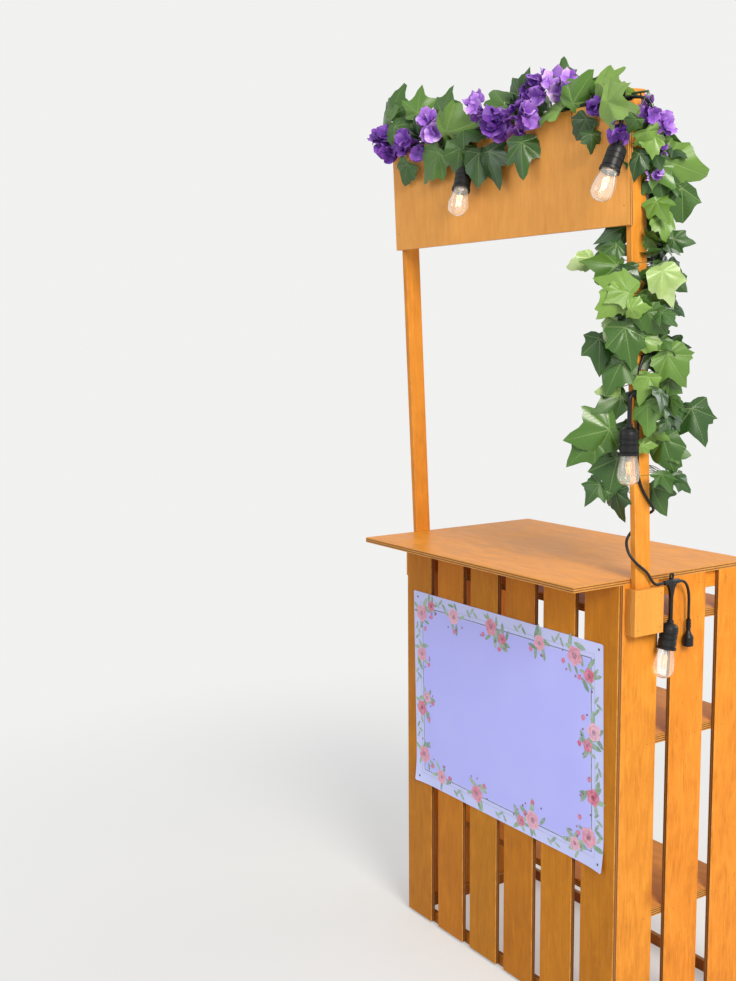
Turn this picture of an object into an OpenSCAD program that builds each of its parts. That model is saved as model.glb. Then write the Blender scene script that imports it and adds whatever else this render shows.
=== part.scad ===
// Slatted plywood sales booth: cabinet with counter, two posts in pockets, header board,
// printed sign, artificial garland and a string of lamps.
// Millimetres, +Z up, front towards -Y, origin on the floor under the middle of the counter.

/* [Cabinet] */
// Width of the cabinet over its side slats
body_w = 740; // [600:10:1000]
// Depth of the cabinet from the front slats' face to the open back
body_d = 400; // [320:10:560]
// Height of the counter's upper face above the floor
counter_h = 1000; // [900:10:1150]
// How far the counter juts out in front of the slats
overhang = 125; // [60:5:200]
// Thickness of the slats, rails, counter, header and pocket covers
ply_t = 12; // [9:1:18]
// Small bevel along the boards' edges
ease = 1.2; // [0.4:0.2:3]

/* [Slats] */
// Gap between two slats of the front
front_gap = 28; // [15:1:45]
// Gap between two slats of a side
side_gap = 41; // [20:1:60]
// Height of the slats' lower ends above the floor
slat_lift = 6; // [2:1:20]

/* [Rails and shelves] */
// Height of the rails under the counter
top_rail_h = 38; // [20:1:60]
// Height of the rails on the floor
bottom_rail_h = 28; // [20:1:60]
// Thickness of the shelves
shelf_t = 18; // [12:1:24]
// How far the shelves stay behind the front slats' face
shelf_setback = 95; // [40:5:140]
// Height of the lower shelf's underside
lower_shelf_z = 244; // [150:2:350]
// How far the middle shelf's underside lies below the counter's upper face
middle_shelf_drop = 369; // [300:1:420]
// How far the upper shelf's underside lies below the counter's upper face
upper_shelf_drop = 115; // [95:1:180]

/* [Post pockets] */
// How far the pocket lies below the counter's upper face
pocket_drop = 20; // [14:1:60]
// Height of the pocket
pocket_h = 95; // [70:1:140]
// Set-back of the pocket behind the front slats' face
pocket_setback = 17; // [14:1:30]
// Width of the pocket's front block
front_block_w = 13.5; // [8:0.5:20]
// Width of the pocket's rear block
rear_block_w = 21.5; // [12:0.5:24]
// Height of the pocket's foot block, which the post stands on
foot_block_h = 12; // [8:1:24]

/* [Posts and header] */
// Thickness of a post, across the booth
post_t = 15; // [12:1:20]
// Width of a post, front to back
post_d = 42; // [36:1:44]
// Length of a post
post_l = 1060; // [900:10:1300]
// Forward lean of the posts in their loose pockets, in degrees
frame_lean = 2.6; // [0:0.2:4]
// Play between a post and its pocket, on each side
post_play = 0.5; // [0.3:0.1:0.9]
// Height of the header board
header_h = 238; // [150:2:320]
// How far the posts rise above the header board
header_drop = 18; // [5:1:40]
// How far the header board passes each post
header_lap = 6; // [0:1:20]

/* [Sign] */
// Width of the printed sheet
sign_w = 670; // [400:10:720]
// Height of the printed sheet
sign_h = 490; // [300:10:600]
// Height of the sheet's lower edge above the floor
sign_z = 368; // [250:1:400]
// Thickness of the printed sheet
sign_t = 0.8; // [0.4:0.1:2]

/* [Garland] */
// How far the garland passes the header board at each end
garland_reach = 78; // [40:2:120]
// Mean height of the foliage above the header board
garland_rise = 72; // [40:2:90]
// Mean length of the foliage that hangs over the header board
garland_drape = 66; // [40:2:90]
// Mean thickness of the foliage in front of the header board
garland_thick = 38; // [30:2:60]
// Half width of the foliage round the right post
post_garland_w = 78; // [56:2:90]
// How far the foliage reaches in front of the post, on its inner side
post_garland_front = 62; // [30:2:70]
// How far the foliage reaches behind the post
post_garland_rear = 62; // [30:2:80]
// Height above the post's foot at which the post's garland ends
post_garland_low = 262; // [262:2:500]

/* [Lamps] */
// Diameter of the lamp cable
cable_d = 6; // [5:0.5:7]
// Length of a lamp's lead below the cable
lead_l = 80; // [50:1:90]
// Largest diameter of a lamp socket
socket_d = 41; // [34:1:44]
// Length of a lamp socket
socket_l = 61; // [45:1:70]
// Largest diameter of a bulb
bulb_d = 45; // [38:1:50]
// Length of a bulb's glass below its socket
bulb_l = 60; // [45:1:70]

/* [Hidden] */
$fn = 48;

ply_color = [0.80, 0.52, 0.24];
shade_color = [0.68, 0.43, 0.19];
leaf_color = [0.25, 0.45, 0.14];
black_color = [0.06, 0.06, 0.07];

front_y = (overhang - body_d) / 2;
back_y = (overhang + body_d) / 2;
half_w = body_w / 2;
under_counter = counter_h - ply_t;
front_slat_count = 6;
side_slat_count = 3;
front_slat_w = (body_w - (front_slat_count - 1) * front_gap) / front_slat_count;
side_slat_w = (body_d - ply_t - (side_slat_count - 1) * side_gap) / side_slat_count;
slat_l = under_counter - slat_lift;
inner_w = body_w - 2 * ply_t;

pocket_z = counter_h - pocket_drop - pocket_h;
pocket_y = front_y + pocket_setback;
pocket_floor_z = pocket_z + foot_block_h;
slot_depth = pocket_h - foot_block_h;
slot_w = post_d / cos(frame_lean) + slot_depth * tan(frame_lean) + 2 * post_play;
slot_y = pocket_y + front_block_w;
pocket_w = front_block_w + slot_w + rear_block_w;
side_play = 1;
slot_t = post_t + 2 * side_play;
post_x = half_w + side_play;
foot_y = slot_y + post_play + slot_depth * tan(frame_lean);

header_top = post_l - header_drop;
header_half = post_x + post_t + header_lap;
soft_gap = 0.4;

// A board with bevelled long edges, given by its size and lowest corner, long axis along X, Y or Z
module board(size, at) {
    long_axis = size.x >= size.y && size.x >= size.z ? 0 : (size.y >= size.z ? 1 : 2);
    translate(at)
        if (long_axis == 2)
            linear_extrude(size.z) bevelled(size.x, size.y);
        else if (long_axis == 0)
            translate([0, 0, size.z]) rotate([0, 90, 0]) linear_extrude(size.x) bevelled(size.z, size.y);
        else
            translate([0, size.y, 0]) rotate([90, 0, 0]) linear_extrude(size.y) bevelled(size.x, size.z);
}

// Rectangle with its four corners cut off by the bevel
module bevelled(a, b) {
    polygon([[ease, 0], [a - ease, 0], [a, ease], [a, b - ease],
             [a - ease, b], [ease, b], [0, b - ease], [0, ease]]);
}

module front_slat(i) {
    color(shade_color)
        board([front_slat_w, ply_t, slat_l], [-half_w + i * (front_slat_w + front_gap), front_y, slat_lift]);
}

module side_slat(i, side) {
    slat_x = side * (half_w - ply_t / 2) - ply_t / 2;
    slat_y = front_y + ply_t + i * (side_slat_w + side_gap);
    color(ply_color) board([ply_t, side_slat_w, slat_l], [slat_x, slat_y, slat_lift]);
}

module counter_top() {
    color(ply_color)
        board([body_w, body_d + overhang, ply_t], [-half_w, -back_y, under_counter]);
}

module front_rail(z, h) {
    color(shade_color) board([inner_w, ply_t, h], [-inner_w / 2, front_y + ply_t, z]);
}

module side_rail(z, h, side, to_y) {
    from_y = front_y + 2 * ply_t;
    color(ply_color)
        board([ply_t, to_y - from_y, h], [side * (inner_w - ply_t) / 2 - ply_t / 2, from_y, z]);
}

module back_rail(z, h) {
    color(shade_color) board([inner_w, ply_t, h], [-inner_w / 2, back_y - ply_t, z]);
}

module shelf(z) {
    shelf_y = front_y + shelf_setback;
    color(ply_color) board([inner_w, back_y - shelf_y, shelf_t], [-inner_w / 2, shelf_y, z]);
}

// Pocket on the right side; the left one is its mirror image
module on_side(side) {
    mirror([side < 0 ? 1 : 0, 0, 0]) children();
}

module pocket_front_block(side) {
    color(ply_color) on_side(side) board([slot_t, front_block_w, pocket_h], [half_w, pocket_y, pocket_z]);
}

module pocket_rear_block(side) {
    color(ply_color) on_side(side) board([slot_t, rear_block_w, pocket_h], [half_w, slot_y + slot_w, pocket_z]);
}

module pocket_foot_block(side) {
    color(ply_color) on_side(side) translate([half_w, slot_y, pocket_z]) cube([slot_t, slot_w, foot_block_h]);
}

module pocket_cover(side) {
    color(ply_color) on_side(side) board([ply_t, pocket_w, pocket_h], [half_w + slot_t, pocket_y, pocket_z]);
}

// Frame of the posts: origin at the front edge of the post's foot, Z along the leaning post
module on_posts() {
    translate([0, foot_y, pocket_floor_z]) rotate([frame_lean, 0, 0]) children();
}

module post(side) {
    sole = 10;
    color(ply_color) on_side(side)
        difference() {
            on_posts() board([post_t, post_d, post_l + sole], [post_x, 0, -sole]);
            translate([post_x - 1, slot_y, pocket_floor_z - 2 * sole]) cube([post_t + 2, 2 * post_d, 2 * sole]);
        }
}

module header_board() {
    color(ply_color) on_posts()
        board([2 * header_half, ply_t, header_h], [-header_half, -ply_t, header_top - header_h]);
}

module sign_sheet() {
    color([0.88, 0.88, 0.95]) translate([-sign_w / 2, front_y - sign_t, sign_z]) cube([sign_w, sign_t, sign_h]);
}

// Closed skin over a list of rings, each a list of points in the same order
module skin(rings) {
    n = len(rings[0]);
    m = len(rings);
    points = [for (r = rings) for (p = r) p];
    sides = [for (i = [0 : m - 2]) for (j = [0 : n - 1]) let (k = (j + 1) % n)
        for (f = [[i * n + j, i * n + k, (i + 1) * n + k], [i * n + j, (i + 1) * n + k, (i + 1) * n + j]]) f];
    first = [[for (j = [n - 1 : -1 : 0]) j]];
    last = [[for (j = [0 : n - 1]) (m - 1) * n + j]];
    polyhedron(points, concat(first, sides, last), convexity = 6);
}

// Foliage over the header: a skin whose section wraps the board's upper edge
garland_half = header_half + garland_reach;
cable_room = 16.5;
cable_room_up = 18;
cable_room_back = 11;
lead_room = 9;
garland_inner = ply_t + cable_room;
cable_lane = min(cable_d + 3, ply_t - 3);

// Where the first lamp hangs, from the header's left end, and how high its joint stands over the board;
// the foliage leaves more room above this joint
first_lamp = 304;
first_joint_z = 5;
loop_room = 10;
loop_room_half = 72;
loop_room_slope = 34;
function room_up(x) = cable_room_up + loop_room
    * max(0, min(1, (loop_room_half - abs(x + header_half - first_lamp)) / loop_room_slope));

// Rise and drape of the foliage as shares of their means, from the left end (-1) to the right end (1)
rise_shares = [
    [-1, 0.9], [-0.82, 1.8], [-0.62, 1.55], [-0.4, 1.2], [-0.2, 0.65], [-0.05, 0.75], [0.1, 1.03],
    [0.3, 1.03], [0.45, 1.2], [0.6, 0.55], [0.8, 0.45], [1, 0.3]
];
drape_shares = [
    [-1, 0.9], [-0.64, 1.4], [-0.45, 1.4], [-0.3, 1.15], [-0.26, 0.95], [-0.133, 0.95], [-0.067, 1.75], [0, 1.9],
    [0.2, 1.85], [0.3, 1.5], [0.36, 0.4], [0.5, 0.35], [0.6, 1], [0.68, 1.3], [0.73, 1.08], [0.9, 1.12],
    [1, 0.9]
];
function garland_end(x) = sqrt(max(0.12, 1 - pow(abs(x) / garland_half, 8)));
function garland_up(x) = room_up(x) + garland_end(x) * garland_rise * lookup(x / garland_half, rise_shares);
function garland_down(x) = garland_end(x) * garland_drape * lookup(x / garland_half, drape_shares);
function garland_out(x) = garland_end(x) * garland_thick * (1 + 0.14 * sin(1.9 * x + 20));
function garland_ring(x) = let (u = garland_up(x), d = garland_down(x), t = garland_out(x), i = garland_inner) [
    [x, -i - lead_room, header_top - d],
    [x, -i, header_top + room_up(x)],
    [x, cable_lane - ply_t, header_top + room_up(x)],
    [x, cable_lane - ply_t, header_top + soft_gap],
    [x, -soft_gap, header_top + soft_gap],
    [x, -soft_gap, header_top + 0.6 * u],
    [x, -ply_t, header_top + 0.9 * u + 6],
    [x, -i - 0.2 * t, header_top + u + 6],
    [x, -i - 0.7 * t, header_top + 0.7 * u],
    [x, -i - t, header_top + 0.1 * u],
    [x, -i - 0.95 * t, header_top - 0.5 * d],
    [x, -i - 0.6 * t, header_top - 0.9 * d]
];

module header_garland() {
    steps = 30;
    color(leaf_color) on_posts()
        skin([for (k = [0 : steps]) garland_ring(garland_half * (2 * k / steps - 1))]);
}

// Foliage round the right post: a skin with a C-shaped section, open to the front and clear of the
// cable and its joint beside the post, of the lamp in front of it and of the header board's back
lamp_zone = 450;
cable_turn_zone = 890;
header_bottom = header_top - header_h;
function post_garland_size(z) = 1 + 0.10 * sin(0.9 * z + 30) + 0.06 * sin(2.3 * z);
function behind_header(z, y, y_there) = z > header_bottom - 6 ? y_there : y;
function outer_front(z) = z < lamp_zone ? 8 : (z < cable_turn_zone ? -10 : 30);
function post_garland_ring(z, end) = let (
    w = end * post_garland_w * post_garland_size(z),
    d = end * post_garland_rear * post_garland_size(z + 90),
    f = end * post_garland_front * post_garland_size(z + 40),
    o = outer_front(z), x = post_x + post_t / 2, y = post_d + cable_room_back,
    inner = post_t / 2 + soft_gap, outer = post_t / 2 + cable_room) [
    [x - w, behind_header(z, -0.6 * f, 3), z],
    [x - 0.7 * w, behind_header(z, -f, soft_gap), z],
    [x - inner - 0.18 * w, behind_header(z, -0.7 * f, 2), z],
    [x - inner, 5, z],
    [x - inner, y, z],
    [x + outer, y, z],
    [x + outer, o + 6, z],
    [x + 0.8 * w, o, z],
    [x + w, o + 12, z],
    [x + w, y + 0.5 * d, z],
    [x + 0.5 * w, y + d, z],
    [x - 0.55 * w, y + d, z],
    [x - w, 0.6 * y, z]
];

module post_garland() {
    low = post_garland_low;
    high = header_top - 12;
    under_header = header_bottom - 8;
    steps = 17;
    heights = concat(
        [for (k = [0 : steps]) low + (under_header - low) * k / steps],
        [for (k = [1 : 7]) header_bottom - 4 + (high - header_bottom + 4) * (k - 1) / 6]);
    color(leaf_color) on_posts()
        skin([for (z = heights)
            post_garland_ring(z, sqrt(max(0.3, 1 - pow(abs(2 * (z - low) / (high - low) - 1), 6))))]);
}

// Anchors of the lamp cable: the header's upper front corners, the pocket's upper rear corner,
// and the edges of the leaning right post at a height above the counter
header_edge_y = foot_y - ply_t * cos(frame_lean) - header_top * sin(frame_lean);
header_edge_z = pocket_floor_z - ply_t * sin(frame_lean) + header_top * cos(frame_lean);
left_corner = [-header_half, header_edge_y, header_edge_z];
right_corner = [header_half, header_edge_y, header_edge_z];
pocket_corner = [half_w, pocket_y + pocket_w, counter_h - pocket_drop];
function post_front_y(z) = foot_y - (z - pocket_floor_z) * tan(frame_lean);
function by_post(outer, rear, p) = let (z = counter_h + p.z)
    [post_x + outer * post_t + p.x, post_front_y(z) + rear * post_d / cos(frame_lean) + p.y, z];

// Route of the lamp cable, from its end behind the header's left end along the header's front edge to the
// first lamp, on the board's upper face to the second, behind the right post, round it and over the pocket
left_route = [
    [-9, 47, -57], [-10, 44, -32], [-14, 28, -11], [-12, 4, -5], [6, -6.5, -5],
    [first_lamp - 64, -5.2, 4.5], [first_lamp - 20, -5, first_joint_z], [first_lamp + 20, -5, first_joint_z],
    [first_lamp + 96, 3, 4.6]
];
right_route = [
    [-130, 3, 4.6], [-95, -3.9, 4.4], [-58, -6.6, -3.5], [-26, -6.5, -5], [14, -6.5, -5], [28, -4.5, -5.5],
    [40, 6, -9], [37, 27, -27], [6, 44, -78]
];
post_route = [
    [1, 1, [1.5, 7, 770]], [1, 1, [4.6, 4.4, 492]], [1, 0, [7.4, 25, 455]], [1, 0, [8, 9.2, 424]],
    [1, 0, [8, 7.6, 400]], [1, 0, [8, 5.4, 352]], [1, 0, [4.5, 7, 205]], [1, 0, [4.5, 31, 162]],
    [1, 1, [4, 5, 143]], [0, 1, [7.5, 13, 134]], [0, 1, [-4, 5, 125]], [0, 0, [-5, 20, 103]],
    [0, 0, [-5, -4, 80]], [0, 0, [8, -14, 58]], [1, 0, [5, -7, 38]], [1, 0, [8, 22, 14]]
];
pocket_route = [
    [23, -22, 7], [22, 6, 5], [22, 50, 5], [21, 68, 0], [16, 86, -22], [13, 92, -84]
];
cable_route = concat(
    [for (p = left_route) left_corner + p],
    [for (p = right_route) right_corner + p],
    [for (p = post_route) by_post(p[0], p[1], p[2])],
    [for (p = pocket_route) pocket_corner + p]
);

// Direction of the route at a point, and a side direction carried along the route without twist
function unit(v) = v / norm(v);
function along(route, i) = unit(route[min(i + 1, len(route) - 1)] - route[max(i - 1, 0)]);
function carried(route, i, u) = let (d = along(route, i)) unit(u - (u * d) * d);
function side_directions(route) = [for (
    i = 0, u = carried(route, 0, [1, 0, 0.3]);
    i < len(route);
    i = i + 1, u = carried(route, min(i, len(route) - 1), u)) u];

// The route with one more point on the curve between each two
function midway(route, i) = (route[i] + route[i + 1]) / 2
    + norm(route[i + 1] - route[i]) * (along(route, i) - along(route, i + 1)) / 8;
function smoothed(route) = concat(
    [for (i = [0 : len(route) - 2]) each [route[i], midway(route, i)]],
    [route[len(route) - 1]]);

module light_cable() {
    sides = 8;
    r = cable_d / 2;
    route = smoothed(cable_route);
    us = side_directions(route);
    color(black_color)
        skin([for (i = [0 : len(route) - 1]) let (u = us[i], v = cross(along(route, i), u))
            [for (k = [0 : sides - 1]) let (a = -360 * k / sides) route[i] + r * (cos(a) * u + sin(a) * v)]]);
}

// The lamps: middle of the joint on the cable, turn of the joint, how far the lead reaches forward of
// the joint before it bends down, the lead's lean, the lamp's tilt and the side it tilts to
lamps = [
    [left_corner + [first_lamp, -5, first_joint_z], [0, 0, 0], 0, 6, 28, 32],
    [right_corner + [-6, -6.5, -5], [0, 0, 0], 0, 4, 26, 0],
    [by_post(1, 0, [8, 6.5, 376]), [0, -90, -90], 25, 0, 0, 0],
    [pocket_corner + [22, 28, 5], [0, 0, 90], 0, 0, 11, 0]
];
joint_r = 6.6;
joint_end_r = 4.6;
joint_l = 44;
joint_web_t = 7;
lead_r = 4.3;
joint_play = 0.7;
joint_bore_r = cable_d / 2 + joint_play;
lead_bend_r = 12;

// Where a lead ends, from its joint: leaning by its own length, or forward, round the bend and down
function bent_drop(reach) = lead_l - reach + (2 - PI / 2) * lead_bend_r;
function lead_end(reach, lean) = reach == 0
    ? [0, -lead_l * sin(lean), -lead_l * cos(lean)]
    : [0, -reach, -bent_drop(reach)];

// Children hang from the lower end of each lamp's lead
module at_lamps() {
    for (l = lamps)
        translate(l[0] + lead_end(l[2], l[3])) rotate([180 - l[4], 0, l[5]]) children();
}

// Outline of the hang loop's outer or inner edge, a slot of two round ends
module loop_outline(r, rise) {
    circle(r = r);
    translate([0, rise]) circle(r = r);
    translate([-r, 0]) square([2 * r, rise]);
}

// Joint body with the cable along X and the lead downwards: tapered arms, a web down to the lead, a hang loop
module joint_body() {
    web_w = 15;
    web_h = 32;
    loop_r = 5.4;
    eye_r = 2.6;
    loop_rise = 4;
    loop_t = 3.4;
    for (side = [0, 180])
        rotate([0, 90, side]) cylinder(r1 = joint_r, r2 = joint_end_r, h = joint_l / 2);
    rotate([90, 0, 0]) linear_extrude(joint_web_t, center = true)
        polygon([[-web_w, -1], [-0.45 * web_w, -0.42 * web_h], [-0.7 * lead_r, -web_h],
                 [0.7 * lead_r, -web_h], [0.45 * web_w, -0.42 * web_h], [web_w, -1], [web_w, 1], [-web_w, 1]]);
    translate([0, 0, joint_r + 0.6 * loop_r]) rotate([90, 0, 0]) linear_extrude(loop_t, center = true)
        difference() {
            loop_outline(loop_r, loop_rise);
            loop_outline(eye_r, loop_rise);
        }
}

// Lead of a lamp: straight down with a lean, or forward, round a bend and down
module lead(reach, lean) {
    lap = 0.01;
    if (reach == 0) rotate([180 - lean, 0, 0]) cylinder(r = lead_r, h = lead_l);
    else {
        rotate([90, 0, 0]) cylinder(r = lead_r, h = reach - lead_bend_r + lap);
        translate([0, lead_bend_r - reach, -lead_bend_r]) rotate([0, -90, 0]) rotate([180, 0, 0])
            rotate_extrude(angle = 90) translate([lead_bend_r, 0]) circle(r = lead_r);
        translate(lead_end(reach, lean)) cylinder(r = lead_r, h = bent_drop(reach) - lead_bend_r + lap);
    }
}

module cable_joint(at, turn, reach, lean) {
    translate(at)
        difference() {
            union() {
                rotate(turn) joint_body();
                lead(reach, lean);
            }
            rotate(turn) rotate([0, 90, 0]) cylinder(r = joint_bore_r, h = joint_l + 2, center = true);
        }
}

module cable_joints() {
    color(black_color) for (l = lamps) cable_joint(l[0], l[1], l[2], l[3]);
}

// Half width of a bulb's neck, and how far it goes into the socket's mouth
neck_r = 0.76 * socket_d / 2;
mouth_l = 5;

// Socket along Z from its collar to its mouth: domed shoulder, two grooves, a wider lip
module lamp_sockets() {
    r = socket_d / 2;
    wall_r = r - 1.7;
    groove = 1.1;
    collar_r = 6.6;
    color(black_color) at_lamps()
        rotate_extrude() polygon([
            [0, 0], [collar_r, 0], [collar_r + 0.4, 5], [9, 6.2], [0.72 * r, 9], [0.88 * r, 13.5], [wall_r, 19],
            [wall_r, 0.44 * socket_l], [wall_r - groove, 0.455 * socket_l], [wall_r - groove, 0.48 * socket_l],
            [wall_r, 0.495 * socket_l], [wall_r, 0.62 * socket_l], [wall_r - groove, 0.635 * socket_l],
            [wall_r - groove, 0.66 * socket_l], [wall_r, 0.675 * socket_l], [wall_r, 0.87 * socket_l],
            [wall_r - groove, 0.88 * socket_l], [wall_r - groove, 0.9 * socket_l], [r, 0.915 * socket_l],
            [r, socket_l], [neck_r + soft_gap, socket_l], [neck_r + soft_gap, socket_l - mouth_l],
            [0, socket_l - mouth_l]
        ]);
}

// Outline of a bulb from its neck, flaring to its widest part and closed by a dome
bulb_flare = [[0, 0], [0.34, 0.2], [0.72, 0.4], [0.94, 0.54], [1, 0.66]];
bulb_dome = [[0.96, 0.78], [0.84, 0.88], [0.6, 0.95], [0.3, 0.99], [0, 1]];
function bulb_outline(neck, r, l) = concat(
    [for (p = bulb_flare) [neck + (r - neck) * p.x, l * p.y]],
    [for (p = bulb_dome) [r * p.x, l * p.y]]);

// Hollow glass bulbs
module lamp_bulbs() {
    glass_t = 1.2;
    r = bulb_d / 2;
    l = bulb_l + mouth_l;
    outside = bulb_outline(neck_r, r, l);
    inside = bulb_outline(neck_r - glass_t, r - glass_t, l - glass_t);
    color([0.9, 0.9, 0.85]) at_lamps() translate([0, 0, socket_l - mouth_l])
        rotate_extrude() polygon(concat(outside, [for (i = [len(inside) - 1 : -1 : 0]) inside[i]]));
}

// End connector along Z: ribbed strain relief, waist, flared grip
module connector() {
    rotate_extrude() polygon([
        [0, 0], [5.2, 0], [5.2, 4], [4.6, 4.5], [4.6, 6], [5.4, 6.5], [5.4, 10], [4.7, 10.5], [4.7, 12],
        [5.6, 12.5], [5.6, 16], [4.8, 17], [4.6, 24], [6.5, 29], [9.6, 34], [11, 38], [11.4, 56], [10.6, 57],
        [0, 57]
    ]);
}

module cable_connectors() {
    color(black_color) {
        translate(cable_route[0]) rotate([180, 0, 0]) connector();
        translate(cable_route[len(cable_route) - 1]) rotate([180, 0, 0]) connector();
    }
}

front_slat(0);  // front_slat_1
front_slat(1);  // front_slat_2
front_slat(2);  // front_slat_3
front_slat(3);  // front_slat_4
front_slat(4);  // front_slat_5
front_slat(5);  // front_slat_6
side_slat(0, -1);  // left_slat_1
side_slat(1, -1);  // left_slat_2
side_slat(2, -1);  // left_slat_3
side_slat(0, 1);  // right_slat_1
side_slat(1, 1);  // right_slat_2
side_slat(2, 1);  // right_slat_3
counter_top();
front_rail(under_counter - top_rail_h, top_rail_h);  // front_top_rail
side_rail(under_counter - top_rail_h, top_rail_h, -1, back_y);  // left_top_rail
side_rail(under_counter - top_rail_h, top_rail_h, 1, back_y);  // right_top_rail
front_rail(0, bottom_rail_h);  // front_bottom_rail
side_rail(0, bottom_rail_h, -1, back_y - ply_t);  // left_bottom_rail
side_rail(0, bottom_rail_h, 1, back_y - ply_t);  // right_bottom_rail
back_rail(0, bottom_rail_h);  // back_bottom_rail
shelf(counter_h - upper_shelf_drop);  // upper_shelf
shelf(counter_h - middle_shelf_drop);  // middle_shelf
shelf(lower_shelf_z);  // lower_shelf
pocket_front_block(-1);  // left_pocket_front_block
pocket_rear_block(-1);  // left_pocket_rear_block
pocket_foot_block(-1);  // left_pocket_foot_block
pocket_cover(-1);  // left_pocket_cover
pocket_front_block(1);  // right_pocket_front_block
pocket_rear_block(1);  // right_pocket_rear_block
pocket_foot_block(1);  // right_pocket_foot_block
pocket_cover(1);  // right_pocket_cover
post(-1);  // left_post
post(1);  // right_post
header_board();
sign_sheet();
header_garland();
post_garland();
light_cable();
cable_joints();
lamp_sockets();
lamp_bulbs();
cable_connectors();
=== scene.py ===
"""Street kiosk: a slatted plywood booth with counter, header board, printed sheet,
artificial garland and a string of clear lamps. Metres, +Z up, the customers' side towards -Y."""

import math

import bpy
import numpy as np
from mathutils import Matrix, Vector


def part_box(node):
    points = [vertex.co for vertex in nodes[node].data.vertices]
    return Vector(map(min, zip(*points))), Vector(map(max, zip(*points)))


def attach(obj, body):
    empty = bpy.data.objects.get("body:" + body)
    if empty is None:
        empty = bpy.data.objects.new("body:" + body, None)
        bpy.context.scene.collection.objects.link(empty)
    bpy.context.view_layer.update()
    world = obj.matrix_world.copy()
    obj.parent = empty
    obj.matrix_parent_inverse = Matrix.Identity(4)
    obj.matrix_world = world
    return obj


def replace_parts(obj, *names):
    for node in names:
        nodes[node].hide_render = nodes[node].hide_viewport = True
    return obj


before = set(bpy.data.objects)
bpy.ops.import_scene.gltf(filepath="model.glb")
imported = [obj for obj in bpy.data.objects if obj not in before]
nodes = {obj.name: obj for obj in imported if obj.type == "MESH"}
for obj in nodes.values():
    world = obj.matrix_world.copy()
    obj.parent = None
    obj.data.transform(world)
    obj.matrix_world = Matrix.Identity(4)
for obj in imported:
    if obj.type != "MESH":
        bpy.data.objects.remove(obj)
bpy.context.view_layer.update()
rng = np.random.default_rng(11)


def span(name, axis):
    """Lowest and highest place of a node of the CAD model along an axis."""
    low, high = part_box(name)
    return float(low[axis]), float(high[axis])


FRONT_Y, slat_back = span("front_slat_1", 1)
PLY = slat_back - FRONT_Y  # thickness of the boards
BODY_X = span("right_slat_1", 0)[1]  # outer face of the right side
COVER_X = span("right_pocket_cover", 0)[1]  # outer face of the right pocket
SLAT_PITCH = span("front_slat_2", 0)[0] - span("front_slat_1", 0)[0]  # from slat to slat
SIDE_PITCH = span("right_slat_2", 1)[0] - span("right_slat_1", 1)[0]
POST_X = sum(span("right_post", 0)) / 2  # middle of the right post
LEAN = math.radians(2.6)  # of the posts, to the front
FOOT = np.array([0.0, -0.10273, 0.897])  # front edge of the posts' feet
HEADER_TOP = 1.042  # along the posts, from their feet
CAMERA_PLACE = np.array([2.09406, -1.87719, 1.49062])


# The camera

def linked(name, data):
    """A new object in the scene."""
    obj = bpy.data.objects.new(name, data)
    bpy.context.scene.collection.objects.link(obj)
    return obj


def make_camera():
    """A camera at the photograph's place: yaw from +Y towards -X, then pitch and roll."""
    yaw, pitch, roll = (math.radians(a) for a in (56.65, -7.24, -0.45))
    forward = Vector((-math.sin(yaw) * math.cos(pitch), math.cos(yaw) * math.cos(pitch), math.sin(pitch)))
    right = Vector((math.cos(yaw), math.sin(yaw), 0))
    up = right.cross(forward)
    across = right * math.cos(roll) + up * math.sin(roll)
    upright = up * math.cos(roll) - right * math.sin(roll)
    axes = Matrix((across, upright, -forward)).transposed()
    data = bpy.data.cameras.new("camera")
    data.sensor_width, data.lens = 36, 44.42
    camera = linked("camera", data)
    camera.matrix_world = Matrix.Translation(Vector(CAMERA_PLACE)) @ axes.to_4x4()
    bpy.context.scene.camera = camera


make_camera()
bpy.context.scene.view_settings.view_transform = "Standard"


# Meshes from numpy arrays

def mesh_object(name, part, made, uv=None, tint=None, smooth=True):
    """A finished piece from (verts, faces), with faces as a list of index arrays, one per number
    of corners. made is its material; uv and tint have one row per vertex."""
    verts, faces = part
    mesh = bpy.data.meshes.new(name)
    mesh.from_pydata(verts.tolist(), [], [f for a in faces for f in a.tolist()])
    mesh.polygons.foreach_set("use_smooth", np.full(len(mesh.polygons), smooth))
    if uv is not None:
        corner = np.empty(len(mesh.loops), np.int32)
        mesh.loops.foreach_get("vertex_index", corner)
        mesh.uv_layers.new(name="UVMap").data.foreach_set("uv", uv[corner].ravel())
    if tint is not None:
        colors = mesh.color_attributes.new(name="tint", type="FLOAT_COLOR", domain="POINT")
        colors.data.foreach_set("color", np.c_[tint, np.ones(len(verts))].ravel())
    mesh.materials.append(made)
    mesh.update()
    obj = linked(name, mesh)
    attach(obj, "root")
    return obj


def joined(parts):
    """Several (verts, faces) pairs as one."""
    start = np.cumsum([0] + [len(v) for v, _ in parts])
    return np.concatenate([v for v, _ in parts]), [f + s for (_, fs), s in zip(parts, start) for f in fs]


def grid(rows, cols, closed=False):
    """Quads over vertices numbered row by row; closed joins the last column to the first."""
    i, j = np.meshgrid(np.arange(rows - 1), np.arange(cols if closed else cols - 1), indexing="ij")
    k = (j + 1) % cols
    return np.stack([i * cols + j, i * cols + k, (i + 1) * cols + k, (i + 1) * cols + j], -1).reshape(-1, 4)


def copies(faces, count, size):
    """The faces of one shape, numbered on for each of count shapes with size vertices."""
    return (faces + size * np.arange(count)[:, None, None]).reshape(-1, faces.shape[1])


def circle(count):
    """Angles, evenly once round."""
    return np.linspace(0, 2 * np.pi, count, endpoint=False)


def unit(v):
    """Each row at length 1."""
    return v / np.maximum(np.linalg.norm(v, axis=-1, keepdims=True), 1e-12)


def framed(origin, *terms):
    """Points = origin + the sum of value x axis, over (values, axis) pairs."""
    for values, axis in terms:
        origin = origin + values[..., None] * axis
    return origin


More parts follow.
